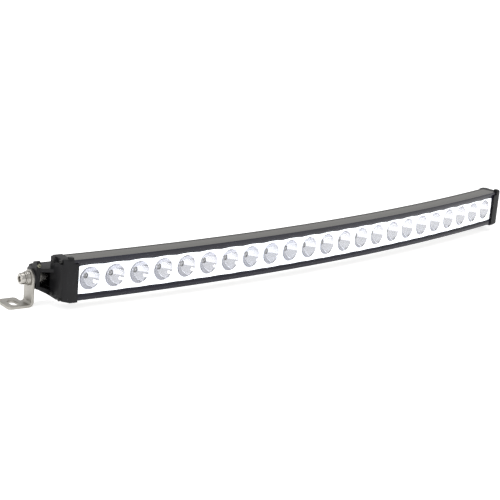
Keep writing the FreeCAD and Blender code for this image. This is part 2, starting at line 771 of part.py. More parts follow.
def add_ear(body):
    """Upright plate with the pivot hole; its top rises at the front around the lock screw."""
    sketch = new_sketch(body, "YZ_Plane", d.ear_inner)
    low = f"(0 - {d.ear_low})"
    draw_outline(sketch, [(f"{d.ear_front} + 4", low), (f"{EAR_BACK} - 5", low), (EAR_BACK, f"{low} + 5"),
                          (EAR_BACK, f"{d.roof_low} - 1"), (f"{EAR_BACK} - 6", f"{d.roof_high} - 2"),
                          (f"{d.ear_front} + 15", d.roof_high), (f"{d.ear_front} + 10.5", f"{d.ear_high} - 2"),
                          (f"{d.ear_front} + 4", d.ear_high), (d.ear_front, f"{d.ear_high} - 3.3"),
                          (d.ear_front, f"{low} + 4")],
                 {1: ("5", 1), 3: ("9", 1), 7: ("4.5", 1), 9: ("4", 1)})
    pad(body, sketch, d.ear_thickness)


def hollow_cap(body):
    sleeve = new_sketch(body, "YZ_Plane", f"0 - {d.cap_overlap}")
    high = f"({HALF_HEIGHT} + {d.cap_fit})"
    draw_rectangle(sleeve, f"0 - {d.cap_fit}", f"0 - {high}", f"{d.bar_depth} + {d.cap_fit}", high)
    pocket(body, sleeve, f"{d.cap_overlap} + {d.cap_seal}")
    inside = new_sketch(body, "YZ_Plane")
    draw_rectangle(inside, "4", f"{d.seal_margin} - {CAVITY}", f"{d.floor_depth} + 2", f"{CAVITY} - {d.seal_margin}")
    pocket(body, inside, f"{d.cap_length} - {d.cap_skin}")


def cut_recess(body, front, back, top, nose):
    """Opens the top of the sleeve and of the flange, but for the front strip of the flange with its knob."""
    behind_strip = new_sketch(body, "XY_Plane", f"{HALF_HEIGHT} + {d.cap_fit}")
    draw_rectangle(behind_strip, f"0 - {d.cap_overlap} - 1", d.recess_front, f"{nose} + 1", f"{back} + 1")
    pocket(body, behind_strip, f"{d.cap_wall} + {d.knob_rise} + 1")
    shoulder = new_sketch(body, "XY_Plane", f"{HALF_HEIGHT} - {d.shoulder_drop}")
    draw_rectangle(shoulder, f"0 - {d.cap_overlap} - 1", f"{front} - 1", "0", f"{back} + 1")
    pocket(body, shoulder, f"{d.shoulder_drop} + {d.cap_wall} + {d.knob_rise} + 1")


def bevel_flange(body, front, back, top, nose):
    """Slants the flange's outboard edge in front and at the bottom."""
    sketch = new_sketch(body, "XY_Plane", f"0 - {top} - 1")
    draw_outline(sketch, [(d.flange_length, f"{front} - 1"), (d.flange_length, front), (nose, d.block_front),
                          (f"{nose} + 8", d.block_front), (f"{nose} + 8", f"{front} - 1")])
    pocket(body, sketch, f"2 * {top} + {d.knob_rise} + 2")
    under = new_sketch(body, "XZ_Plane", f"0 - {back} - 1")
    draw_outline(under, [(d.lip_start, f"0 - {top}"), (d.flange_length, BLOCK_LOW), (f"{nose} + 1", BLOCK_LOW),
                         (f"{nose} + 1", f"0 - {top} - 1"), (d.lip_start, f"0 - {top} - 1")])
    pocket(body, under, f"{back} - {front} + 2")


def drill_cap(body, with_gland):
    for place, height in (FRONT_SCREW, REAR_SCREW):
        for side in ("1", "-1"):
            hole = new_sketch(body, "YZ_Plane")
            draw_circle(hole, place, f"{side} * {height}", f"{d.screw_diameter} + {d.hole_room}")
            pocket(body, hole, f"{d.cap_length} + 1")
    pivot = new_sketch(body, "YZ_Plane", f"{d.ear_inner} - 2")
    draw_circle(pivot, d.pivot_back, f"0 - {d.pivot_drop}", f"{d.bolt_diameter} + 2 * {d.hole_play}")
    pocket(body, pivot, f"{d.ear_thickness} + 4")
    lock = new_sketch(body, "XZ_Plane", f"0 - {d.ear_front} - {d.lock_screw_length} - 1")
    draw_circle(lock, f"{d.ear_inner} + {d.ear_thickness} / 2", d.lock_height, f"{d.screw_diameter} + 0.1")
    pocket(body, lock, f"{d.lock_screw_length} + 6")
    if with_gland:
        entry = new_sketch(body, "YZ_Plane")
        draw_circle(entry, GLAND_DEPTH, "0", f"{d.gland_thread} + 0.1")
        pocket(body, entry, f"{d.cap_length} + 1")


def right_cap_screws():
    """Four screws from the cap into the housing's end, their heads outboard."""
    turn = FreeCAD.Rotation(Vector(0, 0, 1), 90)
    nose = number(d.flange_length) + number(d.bevel_length)
    screws = []
    for index, (place, height) in enumerate(end_screw_places()):
        seat = nose if index < 2 else number(d.cap_length)
        length = seat + number(d.cap_screw_length) - 3 - (0 if index < 2 else 3)
        screw = small_screw(length)
        screw.Placement = FreeCAD.Placement(Vector(seat, place, height), turn)
        screws.append(moved_by(screw, end_place()))
    return group("right_cap_screws", screws)


# ---------------------------------------------------------------- pivots and brackets

def ring_piece(label, inner_face, thickness, outer, bore):
    """A round washer about the pivot, from inner_face outward."""
    body = new_body(label)
    sketch = new_sketch(body, "YZ_Plane", inner_face)
    draw_circle(sketch, d.pivot_back, f"0 - {d.pivot_drop}", outer)
    draw_circle(sketch, d.pivot_back, f"0 - {d.pivot_drop}", bore)
    pad(body, sketch, thickness)
    return body


def outer_washers():
    """Two plain washers one on the other, under the split one."""
    first, second = number(FLAT_WASHER_IN), number(SECOND_WASHER_IN)
    middle = Vector(0, number(d.pivot_back), -number(d.pivot_drop))
    thickness = number(d.washer_thickness)
    bore = number(d.bolt_diameter) + 2 * number(d.hole_play)
    rings = []
    for face in (first, second):
        base = middle + Vector(face, 0, 0)
        plate = rod(Vector(1, 0, 0), base, thickness, number(d.washer_diameter))
        rings.append(moved_by(plate.cut(rod(Vector(1, 0, 0), base, thickness, bore)), end_place()))
    return group("right_outer_washer", rings)


def spring_washer():
    """A split ring: the slit shows at the top."""
    body = ring_piece("right_spring_washer", SPRING_IN, d.spring_thickness, d.spring_diameter,
                      f"{d.bolt_diameter} + 2 * {d.hole_play}")
    slit = new_sketch(body, "YZ_Plane", f"{SPRING_IN} - 1")
    middle = d.pivot_back
    low = f"0 - {d.pivot_drop}"
    draw_outline(slit, [(f"{middle} - 0.6", low), (f"{middle} + 0.6", low),
                        (f"{middle} + 2.2", f"{low} + {d.spring_diameter}"),
                        (f"{middle} + 1", f"{low} + {d.spring_diameter}")])
    pocket(body, slit, f"{d.spring_thickness} + 2")
    return body


def pivot_bolt():
    """Socket-head bolt, head outboard."""
    body = new_body("right_pivot_bolt")
    middle, height = d.pivot_back, f"0 - {d.pivot_drop}"
    shank = new_sketch(body, "YZ_Plane", f"{HEAD_IN} - {d.bolt_length}")
    draw_circle(shank, middle, height, d.bolt_diameter)
    pad(body, shank, f"{d.bolt_length} + 1")
    head = new_sketch(body, "YZ_Plane", HEAD_IN)
    draw_circle(head, middle, height, d.bolt_head_diameter)
    pad(body, head, d.bolt_head_height)
    socket = new_sketch(body, "YZ_Plane", f"{HEAD_IN} + {d.bolt_head_height} - {d.bolt_socket_depth}")
    draw_hexagon(socket, middle, height, d.bolt_socket)
    pocket(body, socket, f"{d.bolt_socket_depth} + 1")
    return body


def dome_nut():
    """Hexagon with a round dome towards the bar's middle, bored blind."""
    body = new_body("right_dome_nut")
    middle, height = d.pivot_back, f"0 - {d.pivot_drop}"
    hexagon = new_sketch(body, "YZ_Plane", f"{NUT_FACE} - {d.nut_flat_height}")
    draw_hexagon(hexagon, middle, height, d.nut_flats)
    pad(body, hexagon, d.nut_flat_height)
    dome = new_sketch(body, "XY_Plane", height)
    radius = f"({d.nut_dome_diameter} / 2)"
    tip = f"({NUT_FACE} - {d.nut_height})"
    shoulder = f"({tip} + {radius})"
    edge = f"({NUT_FACE} - {d.nut_flat_height} / 2)"
    draw_outline(dome, [(tip, middle), (shoulder, f"{middle} - {radius}"), (edge, f"{middle} - {radius}"),
                        (edge, middle)], {0: (radius, 1)})
    turn = body.newObject("PartDesign::Revolution", "right_dome_nut_turn")
    turn.Profile = dome
    turn.ReferenceAxis = (dome, ["Edge4"])
    turn.Angle = 360
    dome.Visibility = False
    bore = new_sketch(body, "YZ_Plane", f"{NUT_FACE} - {d.nut_bore_depth}")
    draw_circle(bore, middle, height, f"{d.bolt_diameter} + 2 * {d.running_gap}")
    pocket(body, bore, f"{d.nut_bore_depth} + 1")
    return body


def lock_screw():
    screw = small_screw(number(d.lock_screw_length))
    seat = Vector(number(d.ear_inner) + number(d.ear_thickness) / 2, number(d.ear_front), number(d.lock_height))
    screw.Placement = FreeCAD.Placement(seat, FreeCAD.Rotation())
    return group("right_ear_screw", [moved_by(screw, end_place())])


def bracket():
    """Bent plate: an upright leg with a round top on the pivot, and a wider foot with a slot."""
    body = new_body("right_bracket")
    low = f"(0 - {d.foot_drop})"
    pivot = f"(0 - {d.pivot_drop})"
    top = f"({pivot} + {d.bracket_width} / 2)"
    outer = f"({d.bend_inner} + {d.bracket_thickness})"
    section = new_sketch(body, "XZ_Plane", f"0 - {FOOT_BACK}")
    draw_outline(section, [(LEG_INNER, top), (LEG_INNER, f"{low} + {outer}"), (f"{LEG_INNER} + {outer}", low),
                           (FOOT_END, low), (FOOT_END, f"{low} + {d.bracket_thickness}"),
                           (f"{LEG_OUTER} + {d.bend_inner}", f"{low} + {d.bracket_thickness}"),
                           (LEG_OUTER, f"{low} + {outer}"), (LEG_OUTER, top)],
                 {1: (outer, 1), 5: (d.bend_inner, -1)})
    pad(body, section, d.foot_width)
    trim_leg(body, low, pivot)
    trim_foot(body, low)
    hole = new_sketch(body, "YZ_Plane", f"{LEG_INNER} - 1")
    draw_circle(hole, d.pivot_back, pivot, f"{d.bolt_diameter} + 2 * {d.running_gap}")
    pocket(body, hole, f"{d.bracket_thickness} + 2")
    return body


def trim_leg(body, low, pivot):
    """Round the leg's top, and cut the foot's rear part clear of the leg and of the bend."""
    left, right = FOOT_FRONT, f"({FOOT_FRONT} + {d.bracket_width})"
    above = f"({pivot} + {d.bracket_width})"
    radius = f"({d.bracket_width} / 2)"
    sketch = new_sketch(body, "YZ_Plane", f"{LEG_INNER} - 1")
    draw_outline(sketch, [(left, pivot), (d.pivot_back, f"{pivot} + {radius}"), (right, pivot),
                          (f"{right} + 1", pivot), (f"{right} + 1", above), (f"{left} - 1", above),
                          (f"{left} - 1", pivot)], {0: (radius, -1), 1: (radius, -1)})
    pocket(body, sketch, f"{d.foot_reach} + 2")
    corner = d.foot_corner
    notch = f"({LEG_OUTER} + {d.bend_inner} + {d.notch_room})"
    sketch = new_sketch(body, "XY_Plane", f"{low} - 1")
    draw_outline(sketch, [(f"{LEG_INNER} - 1", right), (notch, right), (notch, f"{FOOT_BACK} - {corner}"),
                          (f"{notch} + {corner}", FOOT_BACK), (f"{notch} + {corner}", f"{FOOT_BACK} + 1"),
                          (f"{LEG_INNER} - 1", f"{FOOT_BACK} + 1")], {2: (corner, -1)})
    pocket(body, sketch, f"{d.foot_drop} + {d.bracket_width}")


def trim_foot(body, low):
    """Round the foot's outboard corners and cut its slot, which runs front to rear."""
    corner = d.foot_corner
    sketch = new_sketch(body, "XY_Plane", f"{low} - 1")
    draw_outline(sketch, [(f"{FOOT_END} - {corner}", FOOT_BACK), (FOOT_END, f"{FOOT_BACK} - {corner}"),
                          (f"{FOOT_END} + 5", f"{FOOT_BACK} - {corner}"), (f"{FOOT_END} + 5", f"{FOOT_BACK} + 5"),
                          (f"{FOOT_END} - {corner}", f"{FOOT_BACK} + 5")], {0: (corner, -1)})
    pocket(body, sketch, f"{d.bracket_thickness} + 2")
    sketch = new_sketch(body, "XY_Plane", f"{low} - 1")
    draw_outline(sketch, [(f"{FOOT_END} - {corner}", FOOT_FRONT), (f"{FOOT_END} - {corner}", f"{FOOT_FRONT} - 5"),
                          (f"{FOOT_END} + 5", f"{FOOT_FRONT} - 5"), (f"{FOOT_END} + 5", f"{FOOT_FRONT} + {corner}"),
                          (FOOT_END, f"{FOOT_FRONT} + {corner}")], {4: (corner, -1)})
    pocket(body, sketch, f"{d.bracket_thickness} + 2")
    centre = f"({LEG_OUTER} + {d.slot_reach})"
    middle = f"({FOOT_FRONT} + {d.slot_back})"
    half = f"({d.slot_width} / 2)"
    straight = f"(({d.slot_length} - {d.slot_width}) / 2)"
    sketch = new_sketch(body, "XY_Plane", f"{low} - 1")
    draw_outline(sketch, [(f"{centre} - {half}", f"{middle} - {straight}"), (centre, f"{middle} - {straight} - {half}"),
                          (f"{centre} + {half}", f"{middle} - {straight}"),
                          (f"{centre} + {half}", f"{middle} + {straight}"),
                          (centre, f"{middle} + {straight} + {half}"),
                          (f"{centre} - {half}", f"{middle} + {straight}")],
                 {0: (half, 1), 1: (half, 1), 3: (half, 1), 4: (half, 1)})
    pocket(body, sketch, f"{d.bracket_thickness} + 2")


# ---------------------------------------------------------------- cable entry

def gland_body():
    """Threaded tube through the cap's skin with a hexagon collar outside."""
    body = new_body("cable_gland")
    length = f"({d.gland_inside} + {d.cap_skin} + {d.gland_collar} + {d.gland_neck})"
    start = f"({d.cap_length} - {d.cap_skin} - {d.gland_inside})"
    tube = new_sketch(body, "YZ_Plane", start)
    draw_circle(tube, GLAND_DEPTH, "0", d.gland_thread)
    pad(body, tube, length)
    collar = new_sketch(body, "YZ_Plane", d.cap_length)
    draw_hexagon(collar, GLAND_DEPTH, "0", d.gland_flats)
    pad(body, collar, d.gland_collar)
    bore = new_sketch(body, "YZ_Plane", f"{start} - 1")
    draw_circle(bore, GLAND_DEPTH, "0", d.cable_bore)
    pocket(body, bore, f"{length} + 2")
    return body


def gland_locknut():
    body = new_body("gland_locknut")
    plate = new_sketch(body, "YZ_Plane", f"{d.cap_length} - {d.cap_skin} - {d.locknut_thickness}")
    draw_hexagon(plate, GLAND_DEPTH, "0", d.gland_flats)
    draw_circle(plate, GLAND_DEPTH, "0", f"{d.gland_thread} + 0.1")
    pad(body, plate, d.locknut_thickness)
    return body


def gland_nose():
    """Compression cap screwed over the gland's outer end."""
    body = new_body("gland_nose")
    start = f"({d.cap_length} + {d.gland_collar})"
    shell = new_sketch(body, "YZ_Plane", start)
    draw_hexagon(shell, GLAND_DEPTH, "0", d.gland_flats)
    pad(body, shell, d.nose_length)
    thread = new_sketch(body, "YZ_Plane", f"{start} - 1")
    draw_circle(thread, GLAND_DEPTH, "0", f"{d.gland_thread} + 0.1")
    pocket(body, thread, f"1 + {d.gland_neck} + 0.2")
    mouth = new_sketch(body, "YZ_Plane", start)
    draw_circle(mouth, GLAND_DEPTH, "0", f"{d.cable_bore} + 0.6")
    pocket(body, mouth, f"{d.nose_length} + 1")
    return body


def inner_lead():
    """The lead from the gland to the driver board: straight runs joined by tangent arcs."""
    depth = number(GLAND_DEPTH)
    start = number(d.cap_length) - number(d.cap_skin) - number(d.gland_inside) - 0.2
    low = number(DRIVER_FLOOR) + 2.0
    board_end = number(DRIVER_PLACE) + number(d.driver_length) / 2 - number(HALF_BAR)
    route = [Vector(start, depth, 0), Vector(0, depth, -1), Vector(-12, depth, low), Vector(board_end - 6, depth, low)]
    wire = rounded_wire(route)
    section = Part.Wire(Part.makeCircle(number(d.lead_diameter) / 2, route[0], route[1] - route[0]))
    lead = wire.makePipeShell([section], True, False)
    print("lead: volume", round(lead.Volume, 1), "section x length",
          round(math.pi * (number(d.lead_diameter) / 2) ** 2 * wire.Length, 1))
    return group("inner_lead", [moved_by(lead, end_place())])


def rounded_wire(route):
    """Straight runs through the route's points with a tangent arc at each inner point."""
    edges = []
    here = route[0]
    for index in range(1, len(route) - 1):
        before = route[index] - route[index - 1]
        after = route[index + 1] - route[index]
        turn = before.getAngle(after)
        reach = 0.45 * min(before.Length, after.Length)
        radius = reach / math.tan(turn / 2)
        start = route[index] - before.normalize() * reach
        end = route[index] + after.normalize() * reach
        bisector = (end + start) / 2 - route[index]
        rise = radius / math.cos(turn / 2) - radius
        middle = route[index] + bisector.normalize() * rise
        edges.append(Part.LineSegment(here, start).toShape())
        edges.append(Part.Arc(start, middle, end).toShape())
        print("lead: bend radius", round(radius, 1))
        here = end
    edges.append(Part.LineSegment(here, route[-1]).toShape())
    return Part.Wire(edges)


def breather_vent():
    """Round pressure plug in the back of the housing, in a gap between two fins above mid height."""
    plug = rod(Vector(0, 1, 0), Vector(0, 0, 0), number(d.vent_height), number(d.vent_diameter))
    count = number(d.fin_count)
    step = (number(d.bar_height) - number(d.fin_thickness)) / (count - 1)
    place = bar_place(number(d.vent_place), number(FIN_ROOT) + number(d.running_gap), step / 2)
    return group("breather_vent", [moved(plug, place)])


# ---------------------------------------------------------------- the whole

def build():
    pieces = [housing(), front_frame(), front_lens(), lens_gasket(), halo_panel(), reflector_cups(),
              led_emitters(), board_screws(), board_jumpers(), thermal_pad(), driver_board(),
              driver_parts("driver_coils", coil, (0.18, 0.42, 0.66)),
              driver_parts("driver_capacitors", capacitor, (0.30, 0.54, 0.78)),
              driver_parts("driver_transistors", transistor, (0.06, 0.90)),
              gland_body(), gland_locknut(), gland_nose(), inner_lead(), breather_vent()]
    pieces += led_boards()
    play = f"{d.bolt_diameter} + 2 * {d.hole_play}"
    right = [cap_gasket(), right_cap_screws(),
             ring_piece("right_isolator", EAR_OUTER, d.isolator_thickness, d.bracket_width, play),
             ring_piece("right_inner_washer", NUT_FACE, d.washer_thickness, d.washer_diameter, play),
             outer_washers(), spring_washer(), pivot_bolt(), dome_nut(), lock_screw(), bracket()]
    pieces += right
    pieces.append(end_cap("right_end_cap", True))
    blind_cap = end_cap("blind_end_cap", False)
    doc.recompute()
    pieces += [mirrored(piece, piece.Label.replace("right_", "left_")) for piece in right]
    pieces.append(mirrored(blind_cap, "left_end_cap"))
    doc.recompute()
    return pieces


def check(pieces):
    for item in doc.Objects:
        if "Invalid" in item.State or "Error" in item.State:
            raise RuntimeError(f"{item.Label} failed: {item.State}")
    for piece in pieces:
        shape = piece.Shape
        if shape.isNull() or not shape.isValid() or not shape.Solids:
            raise RuntimeError(f"{piece.Label} has no valid shape")


def write(pieces):
    os.makedirs("parts", exist_ok=True)
    for piece in pieces:
        piece.Shape.exportStep(f"parts/{piece.Label}.step")


all_pieces = build()
check(all_pieces)
write(all_pieces)
box = Part.makeCompound([piece.Shape for piece in all_pieces]).BoundBox
print("nodes", len(all_pieces), "box", [round(value, 2) for value in
      (box.XMin, box.YMin, box.ZMin, box.XMax, box.YMax, box.ZMax)])
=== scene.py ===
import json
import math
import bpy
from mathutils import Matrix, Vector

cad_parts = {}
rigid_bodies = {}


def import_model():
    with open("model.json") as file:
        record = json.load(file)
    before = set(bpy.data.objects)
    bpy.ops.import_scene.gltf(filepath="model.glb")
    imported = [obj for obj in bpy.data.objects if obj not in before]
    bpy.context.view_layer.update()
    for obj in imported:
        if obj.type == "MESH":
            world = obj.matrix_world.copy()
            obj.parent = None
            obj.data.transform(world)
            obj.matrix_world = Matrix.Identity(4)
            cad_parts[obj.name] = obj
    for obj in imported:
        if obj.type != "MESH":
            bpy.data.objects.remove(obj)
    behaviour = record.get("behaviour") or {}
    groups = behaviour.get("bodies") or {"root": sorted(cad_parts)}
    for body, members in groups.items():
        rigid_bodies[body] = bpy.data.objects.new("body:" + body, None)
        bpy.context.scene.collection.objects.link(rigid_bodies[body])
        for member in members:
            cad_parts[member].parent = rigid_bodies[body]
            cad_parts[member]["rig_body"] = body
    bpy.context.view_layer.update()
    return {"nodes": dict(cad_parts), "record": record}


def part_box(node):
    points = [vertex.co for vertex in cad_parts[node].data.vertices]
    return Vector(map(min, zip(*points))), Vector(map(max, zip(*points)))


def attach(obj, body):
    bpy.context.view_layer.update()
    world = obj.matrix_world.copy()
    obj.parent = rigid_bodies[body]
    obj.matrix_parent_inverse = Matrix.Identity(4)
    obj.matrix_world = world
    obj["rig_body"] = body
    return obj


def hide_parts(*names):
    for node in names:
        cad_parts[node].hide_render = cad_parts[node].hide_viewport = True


bl_info = {
    "name": "Curved light bar",
    "version": (1, 0, 0),
    "blender": (4, 5, 0),
    "location": "3D View > Sidebar > Light bar",
    "description": "Builds the visible pieces of a curved single-row lamp bar around its packed frame",
    "category": "Object",
}

import bmesh
import bpy
import numpy as np
from bpy.props import FloatProperty, FloatVectorProperty, IntProperty, PointerProperty
from bpy.types import Operator, Panel, PropertyGroup
from mathutils import Matrix, Vector

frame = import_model()

# The face frame gives the bar's foremost point and its mid height.
FACE_LOW, FACE_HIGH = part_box("front_frame")
FRONT_Y = FACE_LOW.y
MID_HEIGHT = (FACE_LOW.z + FACE_HIGH.z) / 2
BAR_HEIGHT = FACE_HIGH.z - FACE_LOW.z
SIDES = (("left", -1.0), ("right", 1.0))
SLOT_OF = {part["node"]: part["material_slot"] for part in frame["record"]["subparts"]}
MM = 0.001


# ---- sizes and colours

def length(name, description, default):
    return FloatProperty(name=name, description=description, default=default, min=0.0,
                         subtype="DISTANCE", unit="LENGTH", precision=4)


def tint(name, description, default):
    return FloatVectorProperty(name=name, description=description, default=default, min=0.0, max=1.0,
                               size=3, subtype="COLOR")


class LightBarSizes(PropertyGroup):
    front_radius: length("Front radius", "Radius of the bar's front face, seen from above", 3.3)
    lamp_count: IntProperty(name="Lamps", description="Lamps in the row", default=23, min=3)
    lamp_pitch: length("Lamp pitch", "Distance between two lamps along the front", 0.041)
    end_margin: length("End margin", "From the last lamp to the end of the window", 0.0214)
    bar_height: length("Bar height", "Height of the housing", BAR_HEIGHT)
    bar_depth: length("Bar depth", "Depth of the housing from its front face", 0.0318)
    window_height: length("Window height", "Mean height of the window", 0.0406)
    window_corner: length("Window corner", "Radius of the window's corners", 0.0042)
    scallop_top: length("Upper scallop", "Height of the upper edge's scallops", 0.0011)
    scallop_low: length("Lower scallop", "Height of the lower edge's waves", 0.0005)
    bevel: length("Window bevel", "Width of the bevel around the window", 0.0034)
    cap_overlap: length("Cap overlap", "Length of housing inside each cap", 0.008)
    cup_diameter: length("Cup diameter", "Outer diameter of a reflector's rim", 0.0334)
    cup_depth: length("Cup depth", "Depth of a reflector", 0.011)
    throat_diameter: length("Throat diameter", "Hole at the bottom of a reflector", 0.0076)
    pivot_depth: length("Pivot depth", "Pivot axis behind the front face", 0.0435)
    pivot_drop: length("Pivot drop", "Pivot axis below mid height", 0.0035)


class LightBarColours(PropertyGroup):
    housing: tint("Housing", "Black anodised extrusion", (0.135, 0.132, 0.124))
    face: tint("Face frame", "Black semi-gloss face frame", (0.010, 0.010, 0.018))
    cap: tint("End caps", "Black powder coat", (0.0065, 0.0065, 0.0075))
    steel: tint("Brackets", "Blasted stainless plate", (0.38, 0.365, 0.335))
    hardware: tint("Hardware", "Turned stainless hardware", (0.43, 0.415, 0.385))
    reflector: tint("Reflectors", "Metallised mirror finish", (0.74, 0.745, 0.79))
    glow: tint("Glow", "Light of the panel around the lamps", (0.94, 0.97, 1.0))
    glow_strength: FloatProperty(name="Glow strength", description="Brightness of the glowing panel",
                                 default=1.7, min=0.0)


def sizes():
    return bpy.context.scene.light_bar_sizes


def colours():
    return bpy.context.scene.light_bar_colours


def half_window():
    """Half the window's length along the front: half the row of lamps and a margin."""
    return (sizes().lamp_count - 1) / 2 * sizes().lamp_pitch + sizes().end_margin


def half_bar():
    return half_window() + sizes().cap_overlap


def lamp_distances():
    count = sizes().lamp_count
    return (np.arange(count) - (count - 1) / 2) * sizes().lamp_pitch


# ---- places

def on_bar(distance, depth, height):
    """Points of the bent bar: a turn of distance over front radius about the upright axis of the front
    face's cylinder, at the front radius less the depth from that axis, and a height above the middle."""
    radius = sizes().front_radius
    angle = distance / radius
    reach = radius - depth
    parts = (reach * np.sin(angle), FRONT_Y + radius - reach * np.cos(angle), MID_HEIGHT + height)
    return np.stack(np.broadcast_arrays(*parts), axis=-1)


def beside_bar(distance, across, depth, height):
    """Points in the straight frame that touches the front face at a distance along it: across goes
    along the tangent, depth to the rear at right angles to it, and height up."""
    radius = sizes().front_radius
    angle = distance / radius
    x = radius * np.sin(angle) + across * np.cos(angle) - depth * np.sin(angle)
    y = FRONT_Y + radius * (1 - np.cos(angle)) + across * np.sin(angle) + depth * np.cos(angle)
    return np.stack(np.broadcast_arrays(x, y, MID_HEIGHT + height), axis=-1)


def at_end(side, outward, depth, height):
    """Points in the frame of the housing's cut end, mirrored for the left."""
    points = beside_bar(half_bar(), outward, depth, height)
    return points * np.array([side, 1.0, 1.0])


# ---- shapes

def grid_faces(rows, columns, wrap_rows=False, wrap_columns=True):
    """Four-sided faces of a grid of points numbered row by row."""
    row = np.arange(rows if wrap_rows else rows - 1)[:, None]
    column = np.arange(columns if wrap_columns else columns - 1)[None, :]
    below, after = (row + 1) % rows, (column + 1) % columns
    row, below = row * columns, below * columns
    return np.stack((row + column, row + after, below + after, below + column), axis=-1).reshape(-1, 4)


def copied(points, faces):
    """Equal shapes side by side in one mesh: points is (copies, points, 3)."""
    shift = np.arange(len(points))[:, None, None] * points.shape[1]
    return points.reshape(-1, 3), (faces[None] + shift).reshape(-1, faces.shape[-1])


def rounded(corners, radii, steps=5):
    """A closed outline whose corners are parabola arcs: each starts and ends a radius away from its
    corner on the two sides, and bends as the square of its share of the way."""
    corners = np.asarray(corners, float)
    radii = np.broadcast_to(radii, len(corners))[:, None]
    before = np.roll(corners, 1, axis=0) - corners
    after = np.roll(corners, -1, axis=0) - corners
    start = corners + before / np.linalg.norm(before, axis=1, keepdims=True) * radii
    end = corners + after / np.linalg.norm(after, axis=1, keepdims=True) * radii
    share = np.linspace(0, 1, steps)[None, :, None]
    arcs = (start[:, None] * (1 - share) ** 2 + corners[:, None] * 2 * share * (1 - share)
            + end[:, None] * share ** 2)
    return arcs.reshape(-1, 2)


def turned(outline, segments, corners=6, flats=None):
    """A turned shape: each row of the outline is a place along the axis, a radius and a flatness.
    The radius becomes a polygon's as flatness goes from 0 to 1, and flats limits it to a bar of that
    width across, which leaves the curved chamfer of a nut where the outline is narrower."""
    angle = np.arange(segments) / segments * 2 * np.pi
    slant = np.cos(np.mod(angle, 2 * np.pi / corners) - np.pi / corners)
    along, radius, flatness = np.asarray(outline, float).T[..., None]
    reach = radius * (1 - flatness + flatness * math.cos(math.pi / corners) / slant)
    if flats:
        reach = np.minimum(reach, flats / 2 / slant)
    return along + 0 * reach, reach * np.cos(angle), reach * np.sin(angle)


def at_lamps(outline, segments, front, corners=6, wrap_rows=False):
    """The same turned shape at every lamp, its axis square to the front face."""
    along, across, up = turned(outline, segments, corners)
    points = np.stack([beside_bar(distance, across, front + along, up) for distance in lamp_distances()])
    faces = grid_faces(len(outline), segments, wrap_rows)
    return copied(points.reshape(len(points), -1, 3), faces)


def new_piece(name, points, faces, finishes, uv=None, finish_of_face=None, smooth=40):
    """A mesh piece with its doubles merged, its faces turned outwards and its flat edges kept sharp."""
    mesh = bpy.data.meshes.new(name)
    mesh.from_pydata(points.reshape(-1, 3).tolist(), [], [list(face) for face in faces])
    if uv is not None:
        corner = np.empty(len(mesh.loops), np.int32)
        mesh.loops.foreach_get("vertex_index", corner)
        layer = mesh.uv_layers.new(name="UVMap")
        layer.data.foreach_set("uv", uv.reshape(-1, 2)[corner].ravel())
    for material in finishes:
        mesh.materials.append(material)
    if finish_of_face is not None:
        mesh.polygons.foreach_set("material_index", np.asarray(finish_of_face, np.int32))
    tidy_mesh(mesh)
    mesh.shade_smooth()
    mesh.set_sharp_from_angle(angle=math.radians(smooth))
    piece = bpy.data.objects.new(name, mesh)
    bpy.context.scene.collection.objects.link(piece)
    return piece


def tidy_mesh(mesh, flat_angle=None, merge=1e-6):
    work = bmesh.new()
    work.from_mesh(mesh)
    bmesh.ops.remove_doubles(work, verts=work.verts, dist=merge)
    bmesh.ops.dissolve_degenerate(work, edges=work.edges, dist=merge)
    if flat_angle:
        bmesh.ops.dissolve_limit(work, angle_limit=flat_angle, verts=work.verts, edges=work.edges)
    bmesh.ops.recalc_face_normals(work, faces=work.faces)
    work.to_mesh(mesh)
    work.free()


def long_piece(name, outline, finishes, half_length, stations=180, second_finish=(0, 0)):
    """A closed outline of (depth, height) carried along the bar's curve and closed at both ends.
    The UV map is the distance along the bar and the distance round the outline. The second finish goes
    on the faces between two of the outline's points."""
    outline = np.asarray(outline, float)
    loop = np.vstack([outline, outline[:1]])
    distance = np.linspace(-half_length, half_length, stations)
    points = on_bar(distance[:, None], loop[None, :, 0], loop[None, :, 1])
    round_it = np.concatenate([[0.0], np.cumsum(np.linalg.norm(np.diff(loop, axis=0), axis=1))])
    uv = np.stack(np.broadcast_arrays(distance[:, None], round_it[None, :]), axis=-1)
    columns = len(loop)
    ends = [list(range(columns - 1)), list(range((stations - 1) * columns, stations * columns - 1))]
    faces = grid_faces(stations, columns, wrap_columns=False)
    column = faces[:, 0] % columns
    finish_of_face = ((column >= second_finish[0]) & (column < second_finish[1])).astype(int)
    return new_piece(name, points, faces.tolist() + ends, finishes, uv,
                     finish_of_face=np.append(finish_of_face, [0, 0]), smooth=28)


def end_turned(name, side, outline, material, depth, height, segments=72, flats=None, ring=False, knurl=0.0,
               knurl_rows=()):
    """A turned piece about an axis that runs outward at one end of the bar."""
    along, across, up = turned(outline, segments, flats=flats)
    if knurl:
        rows = np.zeros((len(outline), 1))
        rows[list(knurl_rows)] = 1.0
        ridge = 1 + rows * knurl * (np.arange(segments) % 2)[None, :]
        across, up = across * ridge, up * ridge
    points = at_end(side, along, depth + across, height + up)
    faces = grid_faces(len(outline), segments, wrap_rows=ring)
    return new_piece(name, points, faces, [material], smooth=34)


def ring_outline(inner_face, thickness, outer, bore, edge=0.35 * MM):
    """The rounded section of a washer from inner_face outward."""
    section = rounded([(inner_face, bore / 2), (inner_face, outer / 2), (inner_face + thickness, outer / 2),
                       (inner_face + thickness, bore / 2)], edge, 4)
    return np.column_stack([section, np.zeros(len(section))])


